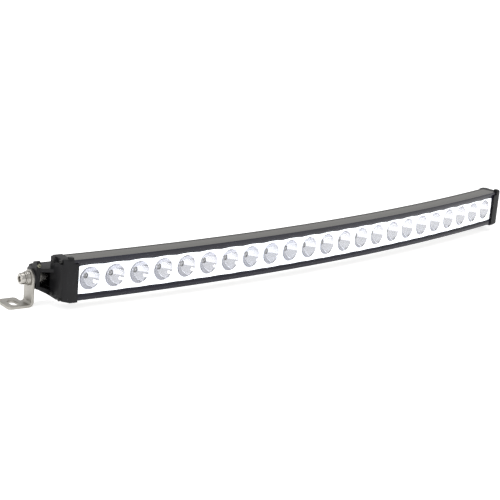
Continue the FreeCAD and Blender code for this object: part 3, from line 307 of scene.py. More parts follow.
def softened_copy(node, name, material, width, segments=3, angle=28):
    """A copy of a CAD node with its doubles merged, its flat faces joined and its edges rounded."""
    mesh = frame["nodes"][node].data.copy()
    mesh.name = name
    mesh.materials.clear()
    mesh.materials.append(material)
    tidy_mesh(mesh, math.radians(0.6), 5e-6)
    mesh.shade_smooth()
    piece = bpy.data.objects.new(name, mesh)
    bpy.context.scene.collection.objects.link(piece)
    soften = piece.modifiers.new("Rounded edges", "BEVEL")
    soften.width = width
    soften.segments = segments
    soften.limit_method = "ANGLE"
    soften.angle_limit = math.radians(angle)
    soften.harden_normals = True
    soften.use_clamp_overlap = True
    return piece


def stand_for(piece, *nodes):
    """The piece moves with the nodes' body and hides them."""
    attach(piece, frame["nodes"][nodes[0]]["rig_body"])
    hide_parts(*nodes)


def soften_both(node, label, material, width):
    """A softened copy of the node at each end of the bar."""
    for name, _ in SIDES:
        piece = softened_copy(f"{name}_{node}", f"{name}_{label}", material, width)
        stand_for(piece, f"{name}_{node}")


# ---- finishes

def new_group(name, inputs, outputs):
    tree = bpy.data.node_groups.new(name, "ShaderNodeTree")
    for direction, sockets in (("INPUT", inputs), ("OUTPUT", outputs)):
        for socket_name, kind in sockets:
            tree.interface.new_socket(name=socket_name, in_out=direction, socket_type=f"NodeSocket{kind}")
    return tree, tree.nodes.new("NodeGroupInput"), tree.nodes.new("NodeGroupOutput")


def feed(tree, node, inputs):
    """Each input takes a value, or a link from another node's output."""
    for key, value in inputs.items():
        if isinstance(value, bpy.types.NodeSocket):
            tree.links.new(value, node.inputs[key])
        else:
            node.inputs[key].default_value = value


def new_node(tree, kind, inputs=None, **settings):
    node = tree.nodes.new(kind)
    for key, value in settings.items():
        setattr(node, key, value)
    feed(tree, node, inputs or {})
    return node


def mixed(tree, kind, factor, first, second):
    """The output of a mix node for numbers or for colours."""
    place, result = {"FLOAT": (2, 0), "RGBA": (6, 2)}[kind]
    node = new_node(tree, "ShaderNodeMix", {0: factor, place: first, place + 1: second}, data_type=kind)
    return node.outputs[result]


def surface_grain():
    """Broad patches shift colour and roughness, and a fine grain shifts roughness and height."""
    name = "Surface grain"
    if name in bpy.data.node_groups:
        return bpy.data.node_groups[name]
    tree, source, result = new_group(
        name,
        [("Vector", "Vector"), ("Patch Scale", "Float"), ("Grain Scale", "Float"), ("Dark Colour", "Color"),
         ("Light Colour", "Color"), ("Low Roughness", "Float"), ("High Roughness", "Float")],
        [("Colour", "Color"), ("Roughness", "Float"), ("Height", "Float")])
    given = source.outputs
    patch = new_node(tree, "ShaderNodeTexNoise", {"Vector": given["Vector"], "Scale": given["Patch Scale"],
                                                  "Detail": 4.0, "Roughness": 0.6})
    grain = new_node(tree, "ShaderNodeTexNoise", {"Vector": given["Vector"], "Scale": given["Grain Scale"],
                                                  "Detail": 2.0})
    spread = new_node(tree, "ShaderNodeMapRange", {"Value": patch.outputs["Fac"], "From Min": 0.32,
                                                   "From Max": 0.68}).outputs["Result"]
    part = new_node(tree, "ShaderNodeMath", {0: grain.outputs["Fac"], 1: 0.45}, operation="MULTIPLY")
    both = new_node(tree, "ShaderNodeMath", {0: spread, 1: 0.55, 2: part.outputs[0]},
                    operation="MULTIPLY_ADD")
    feed(tree, result, {
        "Colour": mixed(tree, "RGBA", spread, given["Dark Colour"], given["Light Colour"]),
        "Roughness": mixed(tree, "FLOAT", both.outputs[0], given["Low Roughness"], given["High Roughness"]),
        "Height": grain.outputs["Fac"]})
    return tree


def pebble():
    """Small rounded bumps, as on powder coat or moulded plastic."""
    name = "Pebble"
    if name in bpy.data.node_groups:
        return bpy.data.node_groups[name]
    tree, source, result = new_group(name, [("Vector", "Vector"), ("Scale", "Float")], [("Height", "Float")])
    given = {key: source.outputs[key] for key in ("Vector", "Scale")}
    cells = new_node(tree, "ShaderNodeTexVoronoi", given, feature="SMOOTH_F1")
    feed(tree, result, {"Height": cells.outputs["Distance"]})
    return tree


def scaled(colour, factor):
    return tuple(min(1.0, channel * factor) for channel in colour)


def finish(name, dark, light, rough, patch=30.0, grain=900.0, bump=0.02, stretch=(1.0, 1.0, 1.0), along=False,
           bumps=0.0, **values):
    """A material whose colour, roughness and height come from the shared grain, in the piece's own
    coordinates or, along the bar, in its UV map. The other values stand on the shader's sockets."""
    if name in bpy.data.materials:
        return bpy.data.materials[name]
    material = bpy.data.materials.new(name)
    material.use_nodes = True
    tree = material.node_tree
    if along:
        where = new_node(tree, "ShaderNodeUVMap", uv_map="UVMap").outputs["UV"]
    else:
        where = new_node(tree, "ShaderNodeTexCoord").outputs["Object"]
    mapping = new_node(tree, "ShaderNodeMapping", {"Vector": where, "Scale": stretch})
    group = new_node(tree, "ShaderNodeGroup", {
        "Vector": mapping.outputs["Vector"], "Patch Scale": patch, "Grain Scale": grain,
        "Dark Colour": (*dark, 1.0), "Light Colour": (*light, 1.0),
        "Low Roughness": rough[0], "High Roughness": rough[1]}, node_tree=surface_grain())
    values.update({"Base Color": group.outputs["Colour"], "Roughness": group.outputs["Roughness"]})
    if "Emission Strength" in values:
        values["Emission Color"] = group.outputs["Colour"]
    height = group.outputs["Height"]
    if bumps:
        dots = new_node(tree, "ShaderNodeGroup", {"Vector": where, "Scale": bumps}, node_tree=pebble())
        height = dots.outputs["Height"]
    if bump:
        relief = new_node(tree, "ShaderNodeBump", {"Strength": 0.5, "Distance": bump * MM, "Height": height})
        values["Normal"] = relief.outputs["Normal"]
    feed(tree, tree.nodes["Principled BSDF"], values)
    return material


def toned(name, tint_name, dark, light, rough, **settings):
    """A finish whose dark and light colours are shares of a colour in the panel."""
    base = getattr(colours(), tint_name)
    return finish(name, scaled(base, dark), scaled(base, light), rough, **settings)


def housing_finishes():
    """Fine lines that run along the bar; the top behind the groove and the rear edge take a darker, less
    metallic copy of the finish as painted shade.
    """
    lines = {"patch": 1.0, "grain": 6.0, "bump": 0.01, "stretch": (2.5, 420.0, 1.0), "along": True}
    return [toned("Black anodised extrusion", "housing", 0.7, 1.4, (0.34, 0.46), Metallic=0.6, **lines),
            # the same anodise made darker and less metallic: painted shade on the top behind the groove and
            # the rounded rear edge
            toned("Anodised rear lip", "housing", 0.3, 0.5, (0.34, 0.46), Metallic=0.3, **lines)]


def face_finish():
    return toned("Black semi-gloss face", "face", 0.85, 1.3, (0.22, 0.30), patch=14.0, grain=1200.0,
                 bump=0.012, **{"Specular IOR Level": 0.32})


def cap_finish():
    return toned("Black powder coat", "cap", 0.8, 1.35, (0.40, 0.55), patch=45.0, grain=1600.0, bump=0.09,
                 bumps=1500.0, **{"Specular IOR Level": 0.22})


def steel_finish():
    return toned("Blasted stainless plate", "steel", 0.86, 1.12, (0.34, 0.50), patch=60.0, grain=2600.0,
                 bump=0.05, Metallic=1.0)


def hardware_finish():
    return toned("Turned stainless", "hardware", 0.86, 1.1, (0.20, 0.34), patch=90.0, grain=2200.0,
                 bump=0.02, Metallic=1.0)


def dark_screw_finish():
    return finish("Black-oxide steel", (0.020, 0.020, 0.021), (0.045, 0.044, 0.042), (0.34, 0.5), patch=260.0,
                  grain=2400.0, bump=0.02, Metallic=0.5)


def zinc_finish():
    return finish("Olive zinc plating", (0.15, 0.15, 0.11), (0.26, 0.26, 0.20), (0.26, 0.4), patch=260.0,
                  grain=2400.0, bump=0.02, Metallic=1.0)


def nylon_finish():
    return finish("Black nylon", (0.010, 0.010, 0.011), (0.018, 0.018, 0.020), (0.42, 0.56), patch=120.0,
                  grain=1500.0, bump=0.04, bumps=1900.0)


def lens_finish():
    return finish("Clear hard-coated lens", (0.975, 0.985, 1.0), (1.0, 1.0, 1.0), (0.0, 0.03), patch=9.0,
                  grain=300.0, bump=0.0, IOR=1.49, **{"Transmission Weight": 1.0})


def glow_finish():
    return toned("Glowing light-guide panel", "glow", 0.96, 1.0, (0.45, 0.6), patch=26.0, grain=1400.0,
                 bump=0.0, **{"Emission Strength": colours().glow_strength})


def reflector_finish():
    return toned("Metallised reflector", "reflector", 0.97, 1.0, (0.05, 0.13), patch=55.0, grain=1300.0,
                 bump=0.004, Metallic=1.0)


# Finishes of the CAD nodes that stay: name, dark, light, roughness, patch scale and metallic.
KEPT_FINISHES = {
    "board": ("Dark solder mask", (0.030, 0.031, 0.036), (0.055, 0.056, 0.064), (0.34, 0.5), 80.0, 0.0),
    "connector": ("Ivory nylon", (0.70, 0.67, 0.58), (0.80, 0.77, 0.68), (0.4, 0.55), 150.0, 0.0),
    "thermal": ("Grey thermal silicone", (0.30, 0.34, 0.37), (0.40, 0.45, 0.48), (0.7, 0.85), 60.0, 0.0),
    "gasket": ("Seal rubber", (0.011, 0.011, 0.012), (0.022, 0.022, 0.023), (0.6, 0.8), 70.0, 0.0),
    "driver": ("Green circuit board", (0.015, 0.090, 0.045), (0.03, 0.15, 0.07), (0.28, 0.45), 110.0, 0.0),
    "coil": ("Grey ferrite", (0.035, 0.035, 0.040), (0.075, 0.075, 0.080), (0.5, 0.7), 260.0, 0.0),
    "capacitor": ("Capacitor can", (0.55, 0.55, 0.57), (0.74, 0.74, 0.76), (0.25, 0.4), 200.0, 1.0),
    "chip": ("Black epoxy", (0.012, 0.012, 0.013), (0.024, 0.024, 0.026), (0.4, 0.6), 300.0, 0.0),
    "bolt": ("Plated board screw", (0.48, 0.48, 0.47), (0.62, 0.61, 0.60), (0.22, 0.38), 260.0, 1.0),
    "gland": ("Black gland nylon", (0.011, 0.011, 0.012), (0.020, 0.020, 0.022), (0.4, 0.56), 120.0, 0.0),
    "lead": ("Silicone lead", (0.016, 0.016, 0.017), (0.030, 0.030, 0.031), (0.55, 0.7), 90.0, 0.0),
}


# ---- operators

class PieceOperator:
    bl_options = {"REGISTER", "UNDO"}

    def execute(self, context):
        self.build(context)
        return {"FINISHED"}


class LIGHTBAR_OT_housing(PieceOperator, Operator):
    """Open-fronted extrusion with a ledge for the lens, a groove near the rear and fins behind"""
    bl_idname = "lightbar.housing"
    bl_label = "Housing"

    wall, floor_depth, floor_wall, boss = 5 * MM, 21 * MM, 3 * MM, 5 * MM
    fin_count, fin = 7, 2.6 * MM
    groove, groove_width, groove_depth = 26.6 * MM, 1.3 * MM, 1.0 * MM
    frame_back, seal_back, lip = 2 * MM, 5.7 * MM, 2.5 * MM

    def build(self, context):
        top, back = sizes().bar_height / 2, sizes().bar_depth
        gap = (2 * top - self.fin_count * self.fin) / (self.fin_count - 1)
        groove_floor, groove_end = top - self.groove_depth, self.groove + self.groove_width
        corners = [(self.frame_back, top), (self.groove, top), (self.groove, groove_floor),
                   (groove_end, groove_floor), (groove_end, top), (back, top)]
        radii = [0.5, 0.35, 0.3, 0.3, 0.35, 0.9]
        for index in range(self.fin_count - 1):
            upper = top - self.fin - index * (self.fin + gap)
            root = self.floor_depth + self.floor_wall + (self.boss if index in (0, self.fin_count - 2) else 0)
            corners += [(back, upper), (root, upper), (root, upper - gap), (back, upper - gap)]
            radii += [0.9, 0.8, 0.8, 0.9]
        cavity, ledge = top - self.wall, top - self.lip
        corners += [(back, -top), (self.frame_back, -top), (self.frame_back, -ledge),
                    (self.seal_back, -ledge), (self.seal_back, -cavity),
                    (self.floor_depth, -cavity), (self.floor_depth, cavity),
                    (self.seal_back, cavity), (self.seal_back, ledge), (self.frame_back, ledge)]
        radii += [0.9, 0.5, 0.3, 0.3, 0.3, 0.5, 0.5, 0.3, 0.3, 0.3]
        outline = rounded(corners, np.array(radii) * MM)
        steps = len(outline) // len(corners)
        # faces from the groove's rear corner round the rear edge take the darker copy of the finish, a
        # painted shade
        lip = (4 * steps, 6 * steps)
        piece = long_piece("housing_extrusion", outline, housing_finishes(), half_bar(), second_finish=lip)
        stand_for(piece, "housing")


class LIGHTBAR_OT_face(PieceOperator, Operator):
    """Face frame: a plate with a bevelled window whose long edges are scalloped at the lamps"""
    bl_idname = "lightbar.face"
    bl_label = "Face frame"

    thickness, edge = 2 * MM, 0.9 * MM
    run_steps, end_steps, corner_steps = 23 * 16, 10, 9

    def window(self):
        """Points round the window: a core rectangle, and at each point the direction outwards."""
        corner = sizes().window_corner
        core = np.array([half_window() - corner, sizes().window_height / 2 - corner])
        cores, ways = [], []
        for turn, (start, end, steps) in enumerate((((-1, -1), (1, -1), self.run_steps),
                                                    ((1, -1), (1, 1), self.end_steps),
                                                    ((1, 1), (-1, 1), self.run_steps),
                                                    ((-1, 1), (-1, -1), self.end_steps))):
            share = np.linspace(0, 1, steps)[:, None]
            cores.append((np.array(start) * (1 - share) + np.array(end) * share) * core)
            angle = (turn - 1) * np.pi / 2
            ways.append(np.tile([np.cos(angle), np.sin(angle)], (steps, 1)))
            arc = angle + np.linspace(0, np.pi / 2, self.corner_steps)[1:-1]
            cores.append(np.tile(np.array(end) * core, (len(arc), 1)))
            ways.append(np.column_stack([np.cos(arc), np.sin(arc)]))
        return np.vstack(cores), np.vstack(ways), core

    def build(self, context):
        """The window's edge stands a corner radius outside the core, plus a wave that is the size of
        the cosine of half a turn per lamp, so it is highest at each lamp and lowest between two."""
        cores, ways, core = self.window()
        swell = np.abs(np.cos(np.pi * cores[:, 0] / sizes().lamp_pitch))
        upper = sizes().scallop_top * (swell - 0.6)
        lower = sizes().scallop_low * (swell ** 1.4 - 0.5)
        wave = np.where(ways[:, 1] > 0, upper, lower) * np.abs(ways[:, 1])
        corner, bevel = sizes().window_corner, sizes().bevel
        edge = cores + ways * (corner + wave)[:, None]
        brim = cores + ways * (corner + bevel)
        outer = cores / core * np.array([half_bar(), sizes().bar_height / 2])
        inward = (brim - outer) / np.linalg.norm(brim - outer, axis=1, keepdims=True)
        rings = [(edge, self.thickness), (edge, self.thickness - 0.5 * MM),
                 (edge * 0.96 + brim * 0.04, 1.25 * MM), (edge * 0.88 + brim * 0.12, 1.1 * MM),
                 (edge * 0.06 + brim * 0.94, 0.22 * MM),
                 (brim - inward * 0.15 * MM, 0.07 * MM), (brim - inward * 0.45 * MM, 0.0),
                 (outer + inward * self.edge, 0.0), (outer + inward * 0.4 * MM, 0.12 * MM),
                 (outer + inward * 0.1 * MM, 0.42 * MM), (outer, self.edge), (outer, self.thickness)]
        points = np.stack([on_bar(place[:, 0], depth, place[:, 1]) for place, depth in rings], axis=1)
        faces = grid_faces(len(cores), len(rings), wrap_rows=True)
        piece = new_piece("face_frame", points, faces, [face_finish()], smooth=30)
        stand_for(piece, "front_frame")


class LIGHTBAR_OT_lens(PieceOperator, Operator):
    """Clear sheet behind the face frame"""
    bl_idname = "lightbar.lens"
    bl_label = "Lens"

    front, thickness, half_height = 2 * MM, 3 * MM, 26.85 * MM

    def build(self, context):
        back, high = self.front + self.thickness, self.half_height
        outline = rounded([(self.front, high), (back, high), (back, -high), (self.front, -high)], 0.2 * MM, 3)
        piece = long_piece("clear_lens", outline, [lens_finish()], half_bar(), 120)
        stand_for(piece, "front_lens")


class LIGHTBAR_OT_glow_panel(PieceOperator, Operator):
    """White light-guide panel with a round hole for each lamp"""
    bl_idname = "lightbar.glow_panel"
    bl_label = "Glowing panel"

    front, thickness, half_height, overhang, gap = 5.7 * MM, 1.5 * MM, 24.2 * MM, 2 * MM, 0.3 * MM
    around, edge = 64, 0.25 * MM

    def build(self, context):
        """One cell per lamp: rings go from the round hole to the cell's rectangle in equal shares, and
        the cells are welded into one sheet, front and back, with a wall round the hole and the rim."""
        lamps = lamp_distances()
        hole = sizes().cup_diameter / 2 + self.gap
        left = np.full(len(lamps), sizes().lamp_pitch / 2)
        right = left.copy()
        left[0] = right[-1] = sizes().end_margin + self.overhang
        corners = np.arctan2(self.half_height, np.array([left.max(), left.min()]))
        corners = np.concatenate([corners, np.pi - corners])
        even = np.linspace(-np.pi, np.pi, self.around, endpoint=False)
        angle = np.unique(np.concatenate([even, corners, -corners]).round(9))
        cosine, sine = np.cos(angle), np.sin(angle)
        width = np.where(cosine > 0, right[:, None], left[:, None])
        reach = np.minimum(width / np.maximum(np.abs(cosine), 1e-9),
                           self.half_height / np.maximum(np.abs(sine), 1e-9))
        share = np.array([0.0, 0.25, 0.6, 1.0])[:, None, None]
        radius = hole + self.edge + share * (reach - hole - self.edge)
        front = [(radius[index], self.front) for index in range(4)]
        wall = [(hole + 0 * reach, self.front + self.thickness), (hole + 0 * reach, self.front + self.edge)]
        back = [(radius[index], self.front + self.thickness) for index in (3, 1)]
        rings = wall + front + back
        points = np.stack([on_bar(lamps[:, None] + far * cosine, depth, far * sine)
                           for far, depth in rings], axis=1)
        count = len(angle)
        faces = grid_faces(len(rings), count, wrap_rows=True)
        rim_row = faces[:, 0] // count == len(wall) + len(front) - 1
        all_points, all_faces = copied(points.reshape(len(lamps), -1, 3), faces)
        rim = np.tile(rim_row, len(lamps))
        column = all_faces[:, 0] % count
        lamp = np.arange(len(all_faces)) // len(faces)
        middle = np.angle(np.exp(1j * (angle + np.diff(np.append(angle, angle[0] + 2 * np.pi)) / 2)))[column]
        corner = np.arctan2(self.half_height, np.where(np.abs(middle) < np.pi / 2, right[lamp], left[lamp]))
        long_side = (np.abs(middle) > corner) & (np.abs(middle) < np.pi - corner)
        outside = long_side | ((lamp == 0) & (np.abs(middle) > np.pi / 2)) | (
            (lamp == len(lamps) - 1) & (np.abs(middle) < np.pi / 2))
        piece = new_piece("glowing_panel", all_points, all_faces[~rim | outside], [glow_finish()], smooth=35)
        stand_for(piece, "halo_panel")


class LIGHTBAR_OT_reflectors(PieceOperator, Operator):
    """Parabolic cups, one for each lamp"""
    bl_idname = "lightbar.reflectors"
    bl_label = "Reflector cups"

    front, wall, lip, steps, around = 5.7 * MM, 1.2 * MM, 0.7 * MM, 14, 56

    def build(self, context):
        """The depth falls from the cup's depth at the throat to zero at the mouth with the square of the
        radius, and the back of the cup is the same curve a wall further in. The lip is flat."""
        rim, throat = sizes().cup_diameter / 2, sizes().throat_diameter / 2
        mouth = rim - self.lip
        radius = np.linspace(throat, mouth, self.steps)
        depth = sizes().cup_depth * (1 - (radius ** 2 - throat ** 2) / (mouth ** 2 - throat ** 2))
        soft = 0.15 * MM
        lip = [(0.0, mouth + soft), (0.0, rim - soft), (soft, rim), (self.wall, rim)]
        section = np.vstack([np.column_stack([depth, radius]), lip,
                             np.column_stack([depth + self.wall, radius])[::-1]])
        outline = np.column_stack([section, np.zeros(len(section))])
        points, faces = at_lamps(outline, self.around, self.front, wrap_rows=True)
        piece = new_piece("reflector_bowls", points, faces, [reflector_finish()], smooth=45)
        stand_for(piece, "reflector_cups")


class LIGHTBAR_OT_emitters(PieceOperator, Operator):
    """Square packages with a clear dome, in the throats of the cups"""
    bl_idname = "lightbar.emitters"
    bl_label = "Emitters"

    board_front, size, height, dome, around = 19.1 * MM, 5 * MM, 1.3 * MM, 1.9 * MM, 32

    def build(self, context):
        """A square block whose top edge is chamfered, then a quarter circle up to the pole."""
        corner = self.size / math.sqrt(2)
        quarter = np.linspace(0, np.pi / 2, 9)
        block = [(0, 1e-5, 1), (0, corner, 1), (-self.height + 0.2 * MM, corner, 1),
                 (-self.height, corner - 0.25 * MM, 1), (-self.height, self.dome + 0.1 * MM, 0)]
        bulb = [(-self.height - self.dome * math.sin(a), max(self.dome * math.cos(a), 1e-5), 0)
                for a in quarter]
        outline = np.array(block + bulb)
        points, faces = at_lamps(outline, self.around, self.board_front, corners=4)
        row = faces[:, 0] // self.around % len(outline)
        package = finish("White ceramic package", (0.60, 0.60, 0.60), (0.72, 0.72, 0.72), (0.3, 0.45),
                         patch=300.0, bump=0.0)
        dome = finish("Clear emitter dome", (0.52, 0.52, 0.54), (0.62, 0.62, 0.64), (0.03, 0.08), patch=900.0,
                      bump=0.0, **{"Coat Weight": 1.0})
        piece = new_piece("emitter_packages", points, faces, [package, dome],
                          finish_of_face=(row >= len(block) - 1).astype(int), smooth=50)
        stand_for(piece, "led_emitters")


class LIGHTBAR_OT_end_caps(PieceOperator, Operator):
    """Cast end caps with their arms and pivot ears"""
    bl_idname = "lightbar.end_caps"
    bl_label = "End caps"

    def build(self, context):
        soften_both("end_cap", "cast_cap", cap_finish(), 0.8 * MM)


class LIGHTBAR_OT_brackets(PieceOperator, Operator):
    """Bent steel brackets that swivel on the pivots"""
    bl_idname = "lightbar.brackets"
    bl_label = "Brackets"

    def build(self, context):
        soften_both("bracket", "plate_bracket", steel_finish(), 0.45 * MM)


class LIGHTBAR_OT_pivots(PieceOperator, Operator):
    """Bolt, washers, isolator and dome nut of each pivot"""
    bl_idname = "lightbar.pivots"
    bl_label = "Pivot hardware"

    ear_in, ear_out, isolator, gap, leg = 33.2 * MM, 39.2 * MM, 1.7 * MM, 0.05 * MM, 4 * MM
    washer, spring, bore = 2.5 * MM, 2.2 * MM, 10.5 * MM
    head_radius, head, shank, bolt_length = 8 * MM, 6.5 * MM, 5 * MM, 30 * MM
    socket, socket_depth = 8 * MM, 3.5 * MM
    nut_flats, nut_flat, nut_dome, nut_height = 17 * MM, 5.5 * MM, 14 * MM, 15 * MM
    isolator_width, washer_width, spring_bore, spring_rim = 24 * MM, 20 * MM, 5.25 * MM, 9.05 * MM
    around, spring_steps, slit, spring_lean = 72, 60, 0.075, 0.10

    def build(self, context):
        for name, side in SIDES:
            leg_out = self.ear_out + self.isolator + self.gap + self.leg
            washer_in = leg_out + self.gap
            spring_in = washer_in + 2 * self.washer
            head_in = spring_in + self.spring
            self.rings(side, name, "ear_isolator", "isolator", [self.ear_out], self.isolator,
                       self.isolator_width, nylon_finish())
            self.rings(side, name, "nut_washer", "inner_washer", [self.ear_in - self.washer], self.washer,
                       self.washer_width, hardware_finish())
            self.rings(side, name, "plain_washers", "outer_washer", [washer_in, washer_in + self.washer],
                       self.washer, self.washer_width, hardware_finish())
            self.split_ring(side, name, spring_in)
            self.bolt(side, name, head_in)
            self.nut(side, name, self.ear_in - self.washer)

    def place(self):
        return sizes().pivot_depth, -sizes().pivot_drop

    def rings(self, side, name, label, node, inner_faces, thickness, outer, material):
        depth, height = self.place()
        shapes = []
        for inner_face in inner_faces:
            outline = ring_outline(inner_face, thickness, outer, self.bore)
            along, across, up = turned(outline, self.around)
            shapes.append(at_end(side, along, depth + across, height + up).reshape(-1, 3))
        points, faces = copied(np.stack(shapes), grid_faces(len(outline), self.around, wrap_rows=True))
        piece = new_piece(f"{name}_{label}", points, faces, [material], smooth=34)
        stand_for(piece, f"{name}_{node}")

    def split_ring(self, side, name, inner_face):
        """The washer's section carried from one side of the slit, at the top, round to the other, and
        shifted along the axis by a small share of the turn, as a sprung ring is."""
        near, far = 0.1 * MM, self.spring - 0.1 * MM
        section = rounded([(near, self.spring_bore), (near, self.spring_rim), (far, self.spring_rim),
                           (far, self.spring_bore)], 0.3 * MM, 3)
        along, radius = section.T
        angle = np.linspace(self.slit, 2 * np.pi - self.slit, self.spring_steps)[:, None] + np.pi / 2
        angle = angle + self.spring_lean * (along / self.spring)
        depth, height = self.place()
        points = at_end(side, inner_face + along, depth + radius * np.cos(angle),
                        height + radius * np.sin(angle))
        columns, count = len(section), len(section) * self.spring_steps
        ends = [list(range(columns)), list(range(count - columns, count))]
        faces = grid_faces(self.spring_steps, columns).tolist() + ends
        piece = new_piece(f"{name}_split_washer", points, faces, [hardware_finish()], smooth=34)
        stand_for(piece, f"{name}_spring_washer")

    def bolt(self, side, name, head_in):
        top = head_in + self.head
        socket_corner = self.socket / math.sqrt(3)
        start = head_in - self.bolt_length
        edge = self.head_radius
        rows = [(start, 1e-5, 0), (start, self.shank - 0.8 * MM, 0), (start + 0.8 * MM, self.shank, 0),
                (head_in, self.shank, 0), (head_in, edge - 0.5 * MM, 0),
                (head_in + 0.4 * MM, edge, 0), (head_in + 1.0 * MM, edge, 0),
                (top - 1.9 * MM, edge, 0), (top - 1.2 * MM, edge - 0.05 * MM, 0),
                (top - 0.5 * MM, edge - 0.4 * MM, 0), (top - 0.1 * MM, edge - 0.9 * MM, 0),
                (top, edge - 1.5 * MM, 0), (top, socket_corner + 0.5 * MM, 0.3),
                (top - 0.35 * MM, socket_corner, 1), (top - self.socket_depth, socket_corner, 1),
                (top - self.socket_depth - 0.8 * MM, 1e-5, 0)]
        piece = end_turned(f"{name}_cap_bolt", side, rows, hardware_finish(), *self.place(), segments=120,
                           knurl=0.018, knurl_rows=(6, 7))
        stand_for(piece, f"{name}_pivot_bolt")

    def nut(self, side, name, face):
        """Hexagon bar cut by a chamfer cone on both ends, then a dome that is a quarter circle."""
        radius = self.nut_dome / 2
        corner = self.nut_flats / math.sqrt(3)
        tip = face - self.nut_height
        flat_in = face - self.nut_flat
        quarter = np.linspace(0, np.pi / 2, 14)
        rows = [(face, self.shank + 0.05 * MM, 0), (face, self.nut_flats / 2 - 0.2 * MM, 0),
                (face - 0.75 * MM, corner, 0)]
        rows += [(face - share * self.nut_flat, corner, 0) for share in (0.3, 0.5, 0.75)]
        rows += [(flat_in + 0.75 * MM, corner, 0), (flat_in, self.nut_flats / 2 - 0.15 * MM, 0),
                 (flat_in - 0.1 * MM, radius + 0.05 * MM, 0)]
        shoulder = tip + radius
        rows += [(shoulder - radius * math.sin(a), max(radius * math.cos(a), 1e-5), 0) for a in quarter]
        piece = end_turned(f"{name}_cap_nut", side, rows, hardware_finish(), *self.place(), segments=96,
                           flats=self.nut_flats)
        stand_for(piece, f"{name}_dome_nut")


def screw_rows(head_radius, head, shank, shank_length, socket, socket_depth):
    """A socket screw from the tip of its shank to the bottom of its socket, its seat at zero."""
    corner = socket / math.sqrt(3)
    return [(-shank_length, 1e-5, 0), (-shank_length, shank, 0), (0, shank, 0),
            (0, head_radius - 0.2 * MM, 0), (0.2 * MM, head_radius, 0), (head - 0.7 * MM, head_radius, 0),
            (head - 0.25 * MM, head_radius - 0.15 * MM, 0), (head, head_radius - 0.6 * MM, 0),
            (head, corner + 0.25 * MM, 0.3), (head - 0.15 * MM, corner, 1),
            (head - socket_depth, corner, 1), (head - socket_depth - 0.3 * MM, 1e-5, 0)]


class LIGHTBAR_OT_screws(PieceOperator, Operator):
    """Screws of the end caps and the small screw in each ear"""
    bl_idname = "lightbar.screws"
    bl_label = "Small screws"

    head_radius, head, shank, shank_length = 2.75 * MM, 3 * MM, 1.5 * MM, 8 * MM
    socket, socket_depth, around = 2.5 * MM, 1.5 * MM, 48
    # seat along the bar's end, depth and height
    cap_places = ((14 * MM, 8 * MM, 27 * MM), (14 * MM, 8 * MM, -27 * MM), (17 * MM, 25.5 * MM, 23.5 * MM),
                  (17 * MM, 25.5 * MM, -23.5 * MM))
    ear_place = (36.2 * MM, 31.5 * MM, 16.8 * MM)

    def build(self, context):
        rows = screw_rows(self.head_radius, self.head, self.shank, self.shank_length, self.socket,
                          self.socket_depth)
        along, across, up = turned(rows, self.around)
        faces = grid_faces(len(rows), self.around)
        for name, side in SIDES:
            shapes = np.stack([at_end(side, seat + along, depth + across, height + up)
                               for seat, depth, height in self.cap_places])
            points, all_faces = copied(shapes.reshape(len(shapes), -1, 3), faces)
            piece = new_piece(f"{name}_cap_bolts", points, all_faces, [dark_screw_finish()], smooth=34)
            stand_for(piece, f"{name}_cap_screws")
            outward, depth, height = self.ear_place
            points = at_end(side, outward + across, depth - along, height + up)
            piece = new_piece(f"{name}_ear_bolt", points, faces, [zinc_finish()], smooth=34)
            stand_for(piece, f"{name}_ear_screw")


class LIGHTBAR_OT_gland(PieceOperator, Operator):
    """Cable gland in the right cap: a hexagon collar and the clamping nut over it"""
    bl_idname = "lightbar.gland"
    bl_label = "Cable gland"

    depth, flats, bore, neck, cap = 13.35 * MM, 15 * MM, 3.2 * MM, 6 * MM, 17 * MM
    inside, collar_length, neck_length, nose_length = 7 * MM, 4 * MM, 5 * MM, 7.5 * MM

    def build(self, context):
        corner = self.flats / math.sqrt(3)
        chamfer = self.flats / 2 - 0.1 * MM
        start, collar = self.cap - self.inside, self.cap + self.collar_length
        neck_end, end, inner = collar + self.neck_length, collar + self.nose_length, self.neck + 0.05 * MM
        body = [(start, self.bore, 0), (start, self.neck, 0), (self.cap, self.neck, 0), (self.cap, corner, 0),
                (collar - 0.7 * MM, corner, 0), (collar, chamfer, 0), (collar, self.neck, 0),
                (neck_end, self.neck, 0), (neck_end, self.bore, 0)]
        self.turn("right_gland_body", body, "cable_gland")
        nose = [(collar, inner, 0), (collar, chamfer, 0), (collar + 0.7 * MM, corner, 0),
                (collar + 3.8 * MM, corner, 0), (collar + 4.6 * MM, chamfer, 0),
                (collar + 5.6 * MM, 7.0 * MM, 0), (end - 0.9 * MM, 6.1 * MM, 0),
                (end - 0.25 * MM, 5.5 * MM, 0), (end, 4.7 * MM, 0), (end, 3.9 * MM, 0),
                (end - 0.5 * MM, 3.5 * MM, 0), (collar + 5.2 * MM, 3.5 * MM, 0),
                (collar + 5.2 * MM, inner, 0)]
        self.turn("right_gland_nut", nose, "gland_nose")

    def turn(self, label, rows, node):
        piece = end_turned(label, 1.0, rows, nylon_finish(), self.depth, 0.0, flats=self.flats, ring=True)
        stand_for(piece, node)


